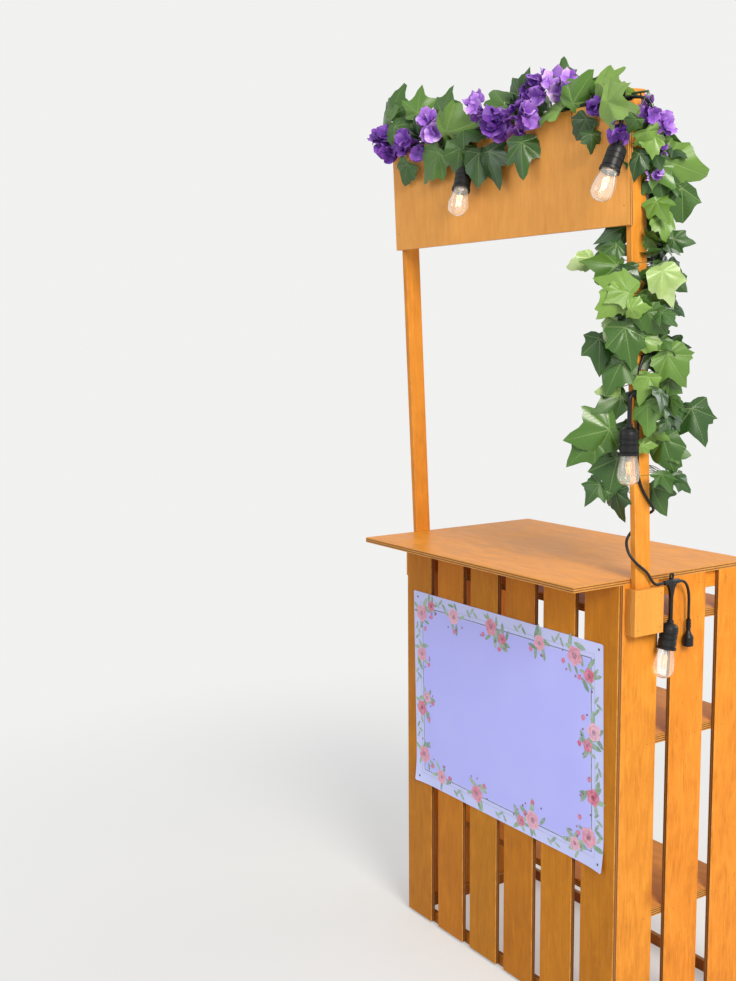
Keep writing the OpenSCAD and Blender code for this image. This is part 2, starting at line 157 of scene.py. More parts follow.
def metres(table):
    """A table in millimetres in metres; its last column, a tone, stays."""
    return table * np.r_[np.full(table.shape[1] - 1, 0.001), 1]


def smooth_path(points, per_span=5):
    """A centripetal curve through the points, per_span steps between each two: straight lines
    between neighbours, blended twice in pairs, over knots at the root of their distances."""
    p = np.asarray(points, float)
    p = np.vstack([2 * p[0] - p[1], p, 2 * p[-1] - p[-2]])
    knots = np.cumsum(np.r_[0, np.sqrt(np.linalg.norm(np.diff(p, axis=0), axis=1))])
    out = []
    for i in range(len(p) - 3):
        q, k = p[i:i + 4], knots[i:i + 4]
        t = np.linspace(k[1], k[2], per_span, endpoint=False)[:, None]
        for spans in (((0, 1), (1, 2), (2, 3)), ((0, 2), (1, 3)), ((1, 2),)):
            q = [q[n] + (q[n + 1] - q[n]) * (t - k[a]) / (k[b] - k[a]) for n, (a, b) in enumerate(spans)]
        out.append(q[0])
    return np.vstack(out + [p[-2:-1]])


def tube(path, radius, sides=10):
    """A closed tube: ring point = path + radius (cos a u + sin a v), with u and v carried along
    the path without twist."""
    along = unit(np.gradient(path, axis=0))
    u = np.empty_like(path)
    side = np.cross(along[0], (0.31, 0.52, 0.79))
    for i, t in enumerate(along):
        u[i] = side = unit(side - side @ t * t)
    v = np.cross(along, u)
    a = circle(sides)[:, None]
    ring = path[:, None] + radius * (np.cos(a) * u[:, None] + np.sin(a) * v[:, None])
    ends = np.stack([np.arange(sides)[::-1], (len(path) - 1) * sides + np.arange(sides)])
    return ring.reshape(-1, 3), [grid(len(path), sides, True), ends]


def revolved(profile, sides=28):
    """A closed profile of (radius, height) pairs turned about Z; it starts and ends on the axis."""
    a = circle(sides)
    r, z = profile[1:-1, :1], profile[1:-1, 1:]
    ring = np.stack(np.broadcast_arrays(r * np.cos(a), r * np.sin(a), z), -1).reshape(-1, 3)
    n = len(ring)
    j = np.arange(sides)
    k = (j + 1) % sides
    ends = np.vstack([np.c_[0 * j + n, k, j], np.c_[0 * j + n + 1, n - sides + j, n - sides + k]])
    poles = [[0, 0, profile[0, 1]], [0, 0, profile[-1, 1]]]
    return np.vstack([ring, poles]), [grid(len(r), sides, True), ends]


def on_posts(x, y, z):
    """A point of the leaning frame of the posts, in the booth's frame."""
    c, s = math.cos(LEAN), math.sin(LEAN)
    return np.stack(np.broadcast_arrays(x, FOOT[1] + y * c - z * s, FOOT[2] + y * s + z * c), -1)


# Helpers for shader nodes

def rgb(r, g, b):
    return (r, g, b, 1.0)


def feed(tree, node, inputs):
    """Links each input to a socket, or writes its plain value."""
    for key, value in inputs.items():
        if isinstance(value, bpy.types.NodeSocket):
            tree.links.new(value, node.inputs[key])
        else:
            node.inputs[key].default_value = value


def add(tree, kind, inputs=None, **settings):
    """A new node."""
    made = tree.nodes.new(kind)
    for key, value in settings.items():
        setattr(made, key, value)
    feed(tree, made, inputs or {})
    return made


def calc(tree, operation, *values, clamp=False):
    """One step of arithmetic."""
    inputs = dict(enumerate(values))
    return add(tree, "ShaderNodeMath", inputs, operation=operation, use_clamp=clamp).outputs[0]


def times(tree, first, *others):
    """The product of all values."""
    for value in others:
        first = calc(tree, "MULTIPLY", first, value)
    return first


def weighted(tree, start, *terms):
    """start, and each value times its weight."""
    for value, weight in terms:
        start = calc(tree, "MULTIPLY_ADD", value, weight, start)
    return start


def step(tree, value, low, high):
    """0 at low, 1 at high, smooth between; low may be the greater one."""
    return add(tree, "ShaderNodeMapRange", {"Value": value, "From Min": low, "From Max": high},
               interpolation_type="SMOOTHSTEP").outputs[0]


def vector(tree, *parts):
    """X, Y and Z as one."""
    return add(tree, "ShaderNodeCombineXYZ", dict(enumerate(parts))).outputs[0]


def parts_of(tree, value):
    return add(tree, "ShaderNodeSeparateXYZ", {0: value}).outputs


def vector_calc(tree, operation, *values):
    """One step of arithmetic on X, Y and Z, or on a colour's parts."""
    made = add(tree, "ShaderNodeVectorMath", dict(enumerate(values)), operation=operation)
    return made.outputs["Value" if operation == "LENGTH" else "Vector"]


def noise(tree, place, scale, detail=2.0, rough=0.5, warp=0.0):
    """Cloudy values about 0.5. scale is one number, or one for each axis."""
    if isinstance(scale, tuple):
        place, scale = vector_calc(tree, "MULTIPLY", place, scale), 1.0
    return add(tree, "ShaderNodeTexNoise", {
        "Vector": place, "Scale": scale, "Detail": detail, "Roughness": rough, "Distortion": warp}).outputs[0]


def blend(tree, share, a, b):
    """The colour a, and b where share is 1."""
    return add(tree, "ShaderNodeMix", {0: share, 6: a, 7: b}, data_type="RGBA").outputs[2]


def ramp(tree, value, *stops):
    """A colour that runs through stops of (value, colour)."""
    made = add(tree, "ShaderNodeValToRGB", {0: value})
    marks = made.color_ramp.elements
    for k, (where, tone) in enumerate(stops):
        mark = marks[k] if k < 2 else marks.new(where)
        mark.position, mark.color = where, rgb(*tone)
    return made.outputs[0]


def bump(tree, height, strength, distance):
    return add(tree, "ShaderNodeBump", {
        "Height": height, "Strength": strength, "Distance": distance}).outputs[0]


def object_place(tree):
    """Place in the piece's own metres."""
    return add(tree, "ShaderNodeTexCoord").outputs["Object"]


def painted(tree):
    """The piece's tint attribute."""
    return add(tree, "ShaderNodeAttribute", attribute_name="tint").outputs["Color"]


def material(name):
    """A new material: (material, tree, shader node)."""
    made = bpy.data.materials.new(name)
    made.use_nodes = True
    tree = made.node_tree
    return made, tree, tree.nodes["Principled BSDF"]


def mix_shaders(tree, share, a, b, output):
    """The shader a, and b where share is 1, to the output node."""
    both = add(tree, "ShaderNodeMixShader", {0: share, 1: a.outputs[0], 2: b.outputs[0]})
    tree.links.new(both.outputs[0], tree.nodes[output].inputs[0])


SOCKETS = {1: "NodeSocketFloat", 3: "NodeSocketVector", 4: "NodeSocketColor"}  # by their count of numbers


def group(name, ins, outs):
    """A new node group: (tree, its inputs, its output node). ins gives each input its value, and
    outs gives each output its count of numbers."""
    tree = bpy.data.node_groups.new(name, "ShaderNodeTree")
    for label, value in ins.items():
        kind = SOCKETS[np.size(value)]
        tree.interface.new_socket(label, in_out="INPUT", socket_type=kind).default_value = value
    for label, count in outs.items():
        tree.interface.new_socket(label, in_out="OUTPUT", socket_type=SOCKETS[count])
    return tree, tree.nodes.new("NodeGroupInput").outputs, tree.nodes.new("NodeGroupOutput")


# Varnished plywood

def plywood_group():
    """Varnished plywood in board coordinates: X across the grain, Y through the thickness, Z along
    it. Noise drawn out along the grain gives fibres, streaks, figure, stains and pores; the edges
    show the plies, and a lighter band, partly wear and partly a painted highlight, follows where a
    face turns into an edge."""
    tree, given, result = group(
        "varnished_plywood",
        dict(Place=(0, 0, 0), Facing=1.0, Seed=0.0, Tone=rgb(0.6, 0.27, 0.07), Plies=1.0, Contrast=1.0,
             Edge=1.0),
        dict(Color=4, Roughness=1, Height=1))
    facing, contrast, plies = given["Facing"], given["Contrast"], given["Plies"]
    moved = vector_calc(tree, "MULTIPLY_ADD", given["Seed"], (3.7, 1.9, 7.3), given["Place"])
    fine = noise(tree, moved, (560, 560, 19), 3, 0.6)
    streak = noise(tree, moved, (125, 125, 9), 3, 0.6, 1.0)
    figure = noise(tree, moved, (27, 27, 7.5), 3, 0.6, 1.8)
    stain = noise(tree, moved, (13, 13, 10), 3, 0.65)
    pores = step(tree, noise(tree, moved, (900, 900, 50), 1), 0.63, 0.74)
    light = weighted(tree, -0.81, (fine, 0.34), (streak, 0.44), (figure, 0.44), (stain, 0.40))
    light = calc(tree, "MULTIPLY_ADD", light, contrast, 1.0)
    face = vector_calc(tree, "MULTIPLY", given["Tone"],
                       vector(tree, light, calc(tree, "POWER", light, 1.3), calc(tree, "POWER", light, 2.0)))
    face = blend(tree, times(tree, pores, contrast, 0.28), face, rgb(0.17, 0.055, 0.012))

    wobble = noise(tree, moved, 60.0, 1)
    layer = weighted(tree, -0.15, (parts_of(tree, given["Place"])[1], 5 / PLY), (wobble, 0.3))
    dark = step(tree, calc(tree, "SINE", times(tree, layer, -math.pi)), -0.2, 0.5)
    edge = noise(tree, moved, (160, 400, 160), 2, 0.6)
    edge = blend(tree, edge, rgb(0.40, 0.150, 0.025), rgb(0.74, 0.36, 0.09))
    # Edge below 1 darkens the edge to dark brown: on the slats this is partly a darker stain and partly
    # painted shade, since their edges lie in shade; the lit counter keeps 1.
    edge = blend(tree, given["Edge"], rgb(0.17, 0.06, 0.012), edge)
    edge = blend(tree, times(tree, dark, plies, 0.8), edge, rgb(0.10, 0.032, 0.012))
    edge = blend(tree, weighted(tree, 0.12, (plies, 0.88)), face, edge)

    # A lighter band on the bevel: partly wear, partly a painted highlight along the edge.
    wear_and_highlight = times(tree, step(tree, facing, 0.35, 0.6), step(tree, facing, 0.95, 0.75))
    chips = step(tree, noise(tree, moved, (70, 70, 38), 3, 0.7), 0.36, 0.62)
    color = blend(tree, step(tree, facing, 0.5, 0.3), face, edge)
    color = blend(tree, times(tree, wear_and_highlight, weighted(tree, 0.05, (chips, 0.45))), color, rgb(0.78, 0.40, 0.12))
    feed(tree, result, {"Color": color, "Roughness": weighted(tree, 0.22, (fine, 0.12), (stain, 0.2)),
                        "Height": weighted(tree, 0.0, (streak, 0.5), (fine, 0.5), (pores, -0.5))})
    return tree


plywood = plywood_group()


def board_material(name, thick, grain, tone, seed, leaning=False, corner=None, plies=1.0, rough=0.0,
                   coat=0.02, contrast=0.85, edge=1.0):
    """Plywood for one board: thick and grain are the axes 0, 1 or 2 of its thickness and its grain,
    and its coordinates start at corner, or else at the low corner of its box."""
    made, tree, shader = material(f"wood_{name}")
    coords = add(tree, "ShaderNodeTexCoord").outputs
    place, normal = coords["Object"], coords["Normal"]
    if leaning:
        place, normal = (
            add(tree, "ShaderNodeMapping", {"Vector": value, "Location": start, "Rotation": (LEAN, 0, 0)},
                vector_type="TEXTURE").outputs[0]
            for value, start in ((place, FOOT.tolist()), (normal, (0, 0, 0))))
    start = tuple(float(v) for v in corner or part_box(name)[0])
    place = parts_of(tree, vector_calc(tree, "SUBTRACT", place, start))
    wood = add(tree, "ShaderNodeGroup", {
        "Place": vector(tree, place[3 - thick - grain], place[thick], place[grain]),
        "Facing": calc(tree, "ABSOLUTE", parts_of(tree, normal)[thick]), "Seed": seed, "Tone": tone,
        "Plies": plies, "Contrast": contrast, "Edge": edge}, node_tree=plywood).outputs
    feed(tree, shader, {
        "Base Color": wood["Color"], "Roughness": calc(tree, "ADD", wood["Roughness"], rough),
        "Normal": bump(tree, wood["Height"], 0.35, 0.0006), "Specular IOR Level": 0.12,
        "Coat Weight": coat, "Coat Roughness": 0.3})
    return made


def refinish(name, made):
    """Gives a node of the CAD model its material."""
    nodes[name].data.materials.clear()
    nodes[name].data.materials.append(made)


def finish_boards():
    """Every plywood node gets its own board material, in a tone a little off that of its kind.
    The kinds' tones hold painted light and shade over the wood's own orange: the front slats,
    pocket blocks, foot blocks and the rails under and behind the slats are darker as painted
    shade, the sides, counter, shelves, pocket covers and header lighter as painted light.
    """
    # front, dark and block are painted shade; side, top and the cover's tone are painted light.
    front, side, top = (0.50, 0.180, 0.009), (0.69, 0.240, 0.023), (0.77, 0.30, 0.032)
    dark, block = (0.36, 0.12, 0.014), (0.52, 0.20, 0.030)
    # edge=0.35 and 0.45 darken the slats' edges: partly a darker stain, partly painted shade.
    rows = [(f"front_slat_{i}", 1, 2, front, dict(edge=0.35)) for i in range(1, 7)]
    for where, x in (("left", -POST_X), ("right", POST_X)):
        rows += [(f"{where}_slat_{i}", 0, 2, side, dict(edge=0.45, contrast=1.1)) for i in (1, 2, 3)]
        rows += [(f"{where}_top_rail", 0, 1, side, {}), (f"{where}_bottom_rail", 0, 1, dark, {})]
        rows += [(f"{where}_pocket_{part}", 0, 2, tone, dict(plies=0.15, contrast=0.5)) for part, tone in (
            ("front_block", block), ("rear_block", block), ("foot_block", dark),
            ("cover", (0.74, 0.29, 0.045)))]
        rows.append((f"{where}_post", 0, 2, (0.67, 0.25, 0.030),
                     dict(leaning=True, plies=0.0, corner=(x - 0.0075, 0, 0))))
    rows += [(name, 2, 0, top, {}) for name in ("counter_top", "upper_shelf", "middle_shelf", "lower_shelf")]
    rows += [(f"{name}_rail", 1, 0, dark, {}) for name in ("front_top", "front_bottom", "back_bottom")]
    # The header's lighter tone is partly painted light.
    rows.append(("header_board", 1, 2, (0.82, 0.355, 0.075),
                 dict(leaning=True, corner=(-0.392, -PLY, 0.804), rough=-0.04, coat=0.15, contrast=0.5)))
    for k, (name, thick, grain, (r, g, b), extra) in enumerate(rows):
        shade = 1 + 0.07 * rng.uniform(-1, 1)
        warm = 1 + 0.05 * rng.uniform(-1, 1)
        tone = rgb(r * shade, g * shade * warm, b * shade * warm * warm)
        refinish(name, board_material(name, thick, grain, tone, 1.3 + 2.17 * k, **extra))


# Rubber, metal and glass

def fine_grain_group():
    """The small unevenness of a moulded or drawn surface: roughness = Rough + Amount x noise, the
    noise as a height, and a mask of dusty touches."""
    tree, given, result = group("fine_grain", dict(Place=(0, 0, 0), Scale=900.0, Rough=0.3, Amount=0.16),
                                dict(Roughness=1, Height=1, Dust=1))
    grain = noise(tree, given["Place"], given["Scale"])
    feed(tree, result, {
        "Roughness": calc(tree, "MULTIPLY_ADD", grain, given["Amount"], given["Rough"]), "Height": grain,
        "Dust": step(tree, noise(tree, given["Place"], 38.0, 3, 0.6), 0.5, 0.8)})
    return tree


fine_grain = fine_grain_group()


def grained(tree, scale, rough, amount):
    """The outputs of a fine grain, as a material uses it."""
    return add(tree, "ShaderNodeGroup", {"Place": object_place(tree), "Scale": scale, "Rough": rough,
                                         "Amount": amount}, node_tree=fine_grain).outputs


def black_rubber(name, rough, tone=0.007):
    """Moulded black rubber or plastic with a fine matt grain and a few dusty touches."""
    made, tree, shader = material(name)
    grain = grained(tree, 900.0, rough, 0.16)
    feed(tree, shader, {
        "Base Color": blend(tree, times(tree, grain["Dust"], 0.25), rgb(tone, tone, tone * 1.08),
                            rgb(0.04, 0.038, 0.035)),
        "Roughness": grain["Roughness"], "Normal": bump(tree, grain["Height"], 0.2, 0.0003),
        "Specular IOR Level": 0.3})
    return made


def metal(name, tone, rough):
    """Plain metal with a slightly uneven sheen."""
    made, tree, shader = material(name)
    feed(tree, shader, {"Base Color": rgb(*tone), "Metallic": 1.0,
                        "Roughness": grained(tree, 400.0, rough, 0.2)["Roughness"]})
    return made


def clear_glass():
    """Clear bulb glass: bends the view, but lets light straight through for shadows."""
    made, tree, shader = material("bulb_glass")
    feed(tree, shader, {"Base Color": rgb(1.0, 0.98, 0.95), "Roughness": 0.02, "Transmission Weight": 0.93,
                        "IOR": 1.45})
    clear = add(tree, "ShaderNodeBsdfTransparent", {"Color": rgb(0.93, 0.92, 0.9)})
    shadow = add(tree, "ShaderNodeLightPath").outputs["Is Shadow Ray"]
    mix_shaders(tree, shadow, shader, clear, "Material Output")
    return made


def glowing_wire():
    """Hot wire: a slightly mottled warm colour times the tint, which says how bright each lamp is."""
    made, tree, shader = material("filament")
    tone = rgb(1.0, 0.60, 0.25)
    warm = blend(tree, noise(tree, object_place(tree), 300.0), tone, rgb(1, 0.85, 0.6))
    feed(tree, shader, {"Base Color": tone, "Emission Strength": 1.8,
                        "Emission Color": vector_calc(tree, "MULTIPLY", warm, painted(tree))})
    return made


# The lamp string

ROUTE = (
    (-0.401, -0.115, 1.8804), (-0.402, -0.118, 1.9054), (-0.406, -0.134, 1.9264), (-0.404, -0.158, 1.9324),
    (-0.386, -0.1685, 1.9324), (-0.152, -0.1672, 1.9419), (-0.108, -0.167, 1.9424), (-0.068, -0.167, 1.9424),
    (0.008, -0.159, 1.942), (0.262, -0.159, 1.942), (0.297, -0.1659, 1.9418), (0.334, -0.1686, 1.9339),
    (0.366, -0.1685, 1.9324), (0.406, -0.1685, 1.9324), (0.42, -0.1665, 1.9319), (0.432, -0.156, 1.9284),
    (0.429, -0.135, 1.9104), (0.398, -0.118, 1.8594), (0.3875, -0.0933, 1.77), (0.3906, -0.0833, 1.492),
    (0.3934, -0.1031, 1.455), (0.394, -0.1175, 1.424), (0.394, -0.118, 1.4), (0.394, -0.118, 1.352),
    (0.3905, -0.1097, 1.205), (0.3905, -0.0838, 1.162), (0.39, -0.0669, 1.143), (0.3785, -0.0584, 1.134),
    (0.367, -0.066, 1.125), (0.366, -0.0921, 1.103), (0.366, -0.115, 1.08), (0.379, -0.124, 1.058),
    (0.391, -0.1161, 1.038), (0.394, -0.086, 1.014), (0.393, -0.0607, 0.987), (0.392, -0.0327, 0.985),
    (0.392, 0.0113, 0.985), (0.391, 0.0293, 0.98), (0.386, 0.0473, 0.958), (0.383, 0.0533, 0.896),
)
# Where each lamp's lead ends, how far the lamp tilts and to which side of forward, in degrees, and its glow
LAMPS = (
    ((-0.088, -0.17535, 1.86282), 28, 32, 1.0), ((0.386, -0.17407, 1.85258), 26, 0, 1.0),
    ((0.394, -0.14298, 1.31585), 0, 0, 0.05), ((0.392, -0.01069, 0.90500), 11, 0, 0.05),
)
BULB_START = 0.056  # along the lamp, inside the socket's mouth
CABLE_RADIUS = 0.003


def make_cable():
    """The free cable: a tube along the route, laid over the header's edge and tied to the post.
    Gives the piece, its path and its length."""
    path = smooth_path(ROUTE)
    rubber = black_rubber("cable_black", 0.32)
    obj = mesh_object("lamp_cable", tube(path, CABLE_RADIUS, 12), rubber)
    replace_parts(obj, "light_cable")
    socket_black = black_rubber("socket_black", 0.30, 0.008)
    for name in ("cable_joints", "lamp_sockets", "cable_connectors"):
        refinish(name, socket_black)
    return obj, path, float(np.linalg.norm(np.diff(path, axis=0), axis=1).sum())


def lamp_frames():
    """Origin and axes of each bulb, Z along the lamp and away from its socket."""
    for place, tilt, turn, _ in LAMPS:
        t, a = math.radians(tilt), math.radians(turn)
        axis = np.array([math.sin(t) * math.sin(a), -math.sin(t) * math.cos(a), -math.cos(t)])
        side = np.array([math.cos(a), math.sin(a), 0.0])
        yield np.array(place) + BULB_START * axis, np.stack([side, np.cross(axis, side), axis], 1)


def make_bulbs():
    """Clear bulbs, flaring from the neck to a wide dome: a glass shell, a glass stem with two
    wires, and a filament in four tall loops, height = top - depth |sin 4 pi a|^0.8."""
    outer = smooth_path(np.array([
        (15.6, 0), (17.9, 13), (20.5, 26), (21.9, 34), (22.5, 42), (22.2, 48), (20.6, 54.5), (17.2, 59.7),
        (12.2, 63), (6.2, 64.6), (0, 65)]) * 0.001, 3)
    inner = outer[::-1] * (0.95, 0.97) + (0, 0.0008)
    stem = np.array([(0, 2), (7, 2), (5.5, 5), (3, 9), (2.2, 13), (2.6, 14.5), (0, 15)]) * 0.001
    glass = [revolved(np.vstack([[(0, 0)], outer])), revolved(np.vstack([inner, [(0, 0.0008)]])),
             revolved(stem, 14)]
    wire = np.array([(1.2, 0, 13), (1.8, 0, 17), (5.0, 0, 27), (5.6, 0, 46)]) * 0.001
    wires = [tube(smooth_path(wire * (side, 1, 1), 3), 0.0004, 6) for side in (-1, 1)]
    a = np.linspace(0, 1, 65)
    loops = np.stack([5.6 * np.cos(np.pi * a), 3.4 * np.sin(8 * np.pi * a),
                      46 - 28 * np.abs(np.sin(4 * np.pi * a)) ** 0.8], 1)
    loops = tube(loops * 0.001, 0.00045, 6)
    glow = np.repeat([lamp[3] for lamp in LAMPS], len(loops[0]))[:, None] * np.ones(3)

    def on_lamps(*parts):
        """The parts on every lamp, as one."""
        return joined([(verts @ turn.T + origin, faces)
                       for origin, turn in lamp_frames() for verts, faces in parts])

    obj = mesh_object("bulb_glass", on_lamps(*glass), clear_glass())
    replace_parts(obj, "lamp_bulbs")
    mesh_object("bulb_wires", on_lamps(*wires), metal("wire", (0.5, 0.48, 0.45), 0.3))
    mesh_object("bulb_filaments", on_lamps(loops), glowing_wire(), tint=glow)


cable, cable_path, cable_length = make_cable()
make_bulbs()

finish_boards()


# Brads and tacks

def heads(places, normals, radius, rise):
    """Low domes, one per place: rings of radius r and height rise (1 - (r / radius)^2)."""
    places, n = np.asarray(places), unit(np.asarray(normals, float))
    u = unit(np.cross(n, (0.13, 0.31, 0.94)))
    f, a = np.array([1.0, 0.75, 0.4])[:, None, None], circle(10)[:, None]
    flat = np.cos(a) * u[:, None, None] + np.sin(a) * np.cross(n, u)[:, None, None]
    rings = places[:, None, None] + radius * f * flat + (rise * (1 - f ** 2) - 0.0002) * n[:, None, None]
    verts = np.concatenate([rings.reshape(len(places), 30, 3), (places + rise * n)[:, None]], 1)
    j = np.arange(10)
    fan = np.c_[20 + j, 20 + (j + 1) % 10, 0 * j + 30]
    return verts.reshape(-1, 3), [copies(faces, len(places), 31) for faces in (grid(3, 10, True), fan)]


def make_fixings():
    """Heads of the brads in slats, pocket covers and header board, near the boards behind them."""
    sets = [((0, -1, 0), [(i * SLAT_PITCH - BODY_X + dx, FRONT_Y, z)
                          for i in range(6) for z in (0.016, 0.969) for dx in (0.022, 0.078)])]
    for side in (-1, 1):
        slats = [(side * BODY_X, FRONT_Y + PLY + i * SIDE_PITCH + dy, z)
                 for i in range(3) for z in (0.014, 0.968, 0.253, 0.640, 0.894) for dy in (0.024, 0.078)]
        covers = [(side * COVER_X, y, z) for y in (-0.112, -0.048) for z in (0.897, 0.968)]
        sets += [((side, 0, 0), slats + covers),
                 (on_posts(0, -1, 0) - FOOT, [on_posts(side * POST_X, -PLY, z) for z in (0.842, 1.0)])]
    normals = np.repeat([normal for normal, _ in sets], [len(places) for _, places in sets], 0)
    mesh_object("brad_heads", heads(np.vstack([places for _, places in sets]), normals, 0.0021, 0.0004),
                metal("brad", (0.34, 0.19, 0.08), 0.45))


make_fixings()


# The printed sheet

SHEET_HALF = np.array([np.ptp(span("sign_sheet", axis)) / 2 for axis in (0, 2)])
SHEET_Z = sum(span("sign_sheet", 2)) / 2  # middle of the sheet
SKEW = 0.025  # of its sides: the lower edge hangs to the right


def sheet_face(x, z, lift=0.0):
    """The sheet's face over the sheet's own metres from its middle. It is hung a little askew, lies
    on the slats, goes slack over the gaps with the cosine of the slats' pitch, and curls forward at
    the lower corners with the square of the way into them."""
    x = x - SKEW * z
    gap = np.cos(x / SLAT_PITCH * 2 * np.pi)
    slack = 0.0004 + 0.0007 * (1 + gap) / 2 * (0.6 + 0.4 * np.sin(5 * z + 3 * x))
    curl = 0.009 * np.clip((np.abs(x) - 0.26) / 0.08, 0, 1) ** 2 * np.clip((-z - 0.165) / 0.08, 0, 1) ** 2
    return np.stack([x, FRONT_Y - 0.0006 - slack - curl - lift, SHEET_Z + z], -1)


def sheet_material():
    """Lavender print, paler outside the frame line, with a plain pale back. Its deep blue lavender
    is partly the print's own lilac and partly painted cool shade.
    """
    made, tree, shader = material("printed_sheet")
    place = object_place(tree)
    x, _, z = parts_of(tree, place)
    z = calc(tree, "SUBTRACT", z, SHEET_Z)
    inner = times(tree, *(step(tree, calc(tree, "ABSOLUTE", value), rim, rim - 0.016) for value, rim in (
        (weighted(tree, x, (z, SKEW)), 0.306), (z, 0.216))))
    # The deep blue of these tones is partly painted shade over a paler lilac.
    plain = blend(tree, noise(tree, place, 7.0), rgb(0.44, 0.45, 1.0), rgb(0.49, 0.51, 1.0))
    face = blend(tree, inner, rgb(0.56, 0.60, 0.95), plain)
    behind = add(tree, "ShaderNodeNewGeometry").outputs["Backfacing"]
    feed(tree, shader, {"Base Color": blend(tree, behind, face, rgb(0.78, 0.78, 0.79)), "Roughness": 0.42,
                        "Specular IOR Level": 0.3})
    return made


def make_sheet():
    """A rounded rectangle: corners of the grid are pulled in onto quarter circles."""
    r = 0.005
    xs, zs = (np.r_[np.linspace(-half, 0.008 - half, 6), np.linspace(0.016 - half, half - 0.016, count),
                    np.linspace(half - 0.008, half, 6)] for half, count in zip(SHEET_HALF, (81, 45)))
    z, x = np.meshgrid(zs, xs, indexing="ij")
    flat = np.stack([x, z], -1)
    over = np.abs(flat) - (SHEET_HALF - r)
    pulled = np.sign(flat) * (SHEET_HALF - r + unit(over) * over.max(-1, keepdims=True))
    flat = np.where((over > 0).all(-1, keepdims=True), pulled, flat)
    verts = sheet_face(flat[..., 0], flat[..., 1]).reshape(-1, 3)
    return mesh_object("printed_sheet", (verts, [grid(len(zs), len(xs))]), sheet_material())


def dabs(x, z, size, angle, outline, tint, lift):
    """Flat printed shapes, one per row: a fan from a middle point to radius(angle) on the sheet.
    Gives (verts, faces) and the tint of each vertex."""
    n = len(outline)
    r = size[:, None] * np.r_[0, outline]
    a = angle[:, None] + np.r_[0, circle(n)]
    verts = sheet_face(x[:, None] + r * np.cos(a), z[:, None] + r * np.sin(a), lift).reshape(-1, 3)
    j = np.arange(1, n + 1)
    return (verts, [copies(np.c_[0 * j, j, j % n + 1], len(x), n + 1)]), np.repeat(tint, n + 1, 0)


def print_material():
    """Printed ink: the tint, faded in patches."""
    made, tree, shader = material("print_ink")
    faded = times(tree, step(tree, noise(tree, object_place(tree), 110.0, 3, 0.6), 0.35, 0.75), 0.32)
    feed(tree, shader, {"Base Color": blend(tree, faded, painted(tree), rgb(0.72, 0.70, 0.92)),
                        "Roughness": 0.4})
    return made


# Printed blossoms: middle x and z on the sheet in metres, radius in millimetres, share of rose in the pink
SPOTS = np.array([
    (-0.302, 0.192, 22, .35), (-0.262, 0.216, 14, .8), (-0.172, 0.207, 20, .1), (-0.030, 0.210, 21, .6),
    (0.010, 0.190, 14, .9), (0.138, 0.208, 18, .25), (0.250, 0.203, 22, .5), (0.293, 0.170, 16, .9),
    (0.307, 0.052, 20, .1), (0.288, 0.018, 14, .8), (0.304, -0.090, 19, .85), (0.290, -0.182, 23, .45),
    (0.248, -0.210, 16, .2), (0.110, -0.205, 22, .2), (0.070, -0.219, 14, .8), (-0.090, -0.207, 21, .6),
    (-0.230, -0.208, 18, .3), (-0.300, -0.170, 22, .5), (-0.308, -0.052, 20, .75), (-0.286, -0.020, 14, .3),
    (-0.304, 0.088, 19, .4),
])
# Sprigs between them, outside the frame line
SPRIGS = np.array([
    (-0.224, .228), (-0.10, .229), (0.072, .228), (0.196, .229), (0.319, .11), (0.320, -.03), (0.319, -.14),
    (0.18, -.229), (0.0, -.229), (-0.16, -.228), (-0.319, -.11), (-0.320, .03), (-0.319, .142),
])


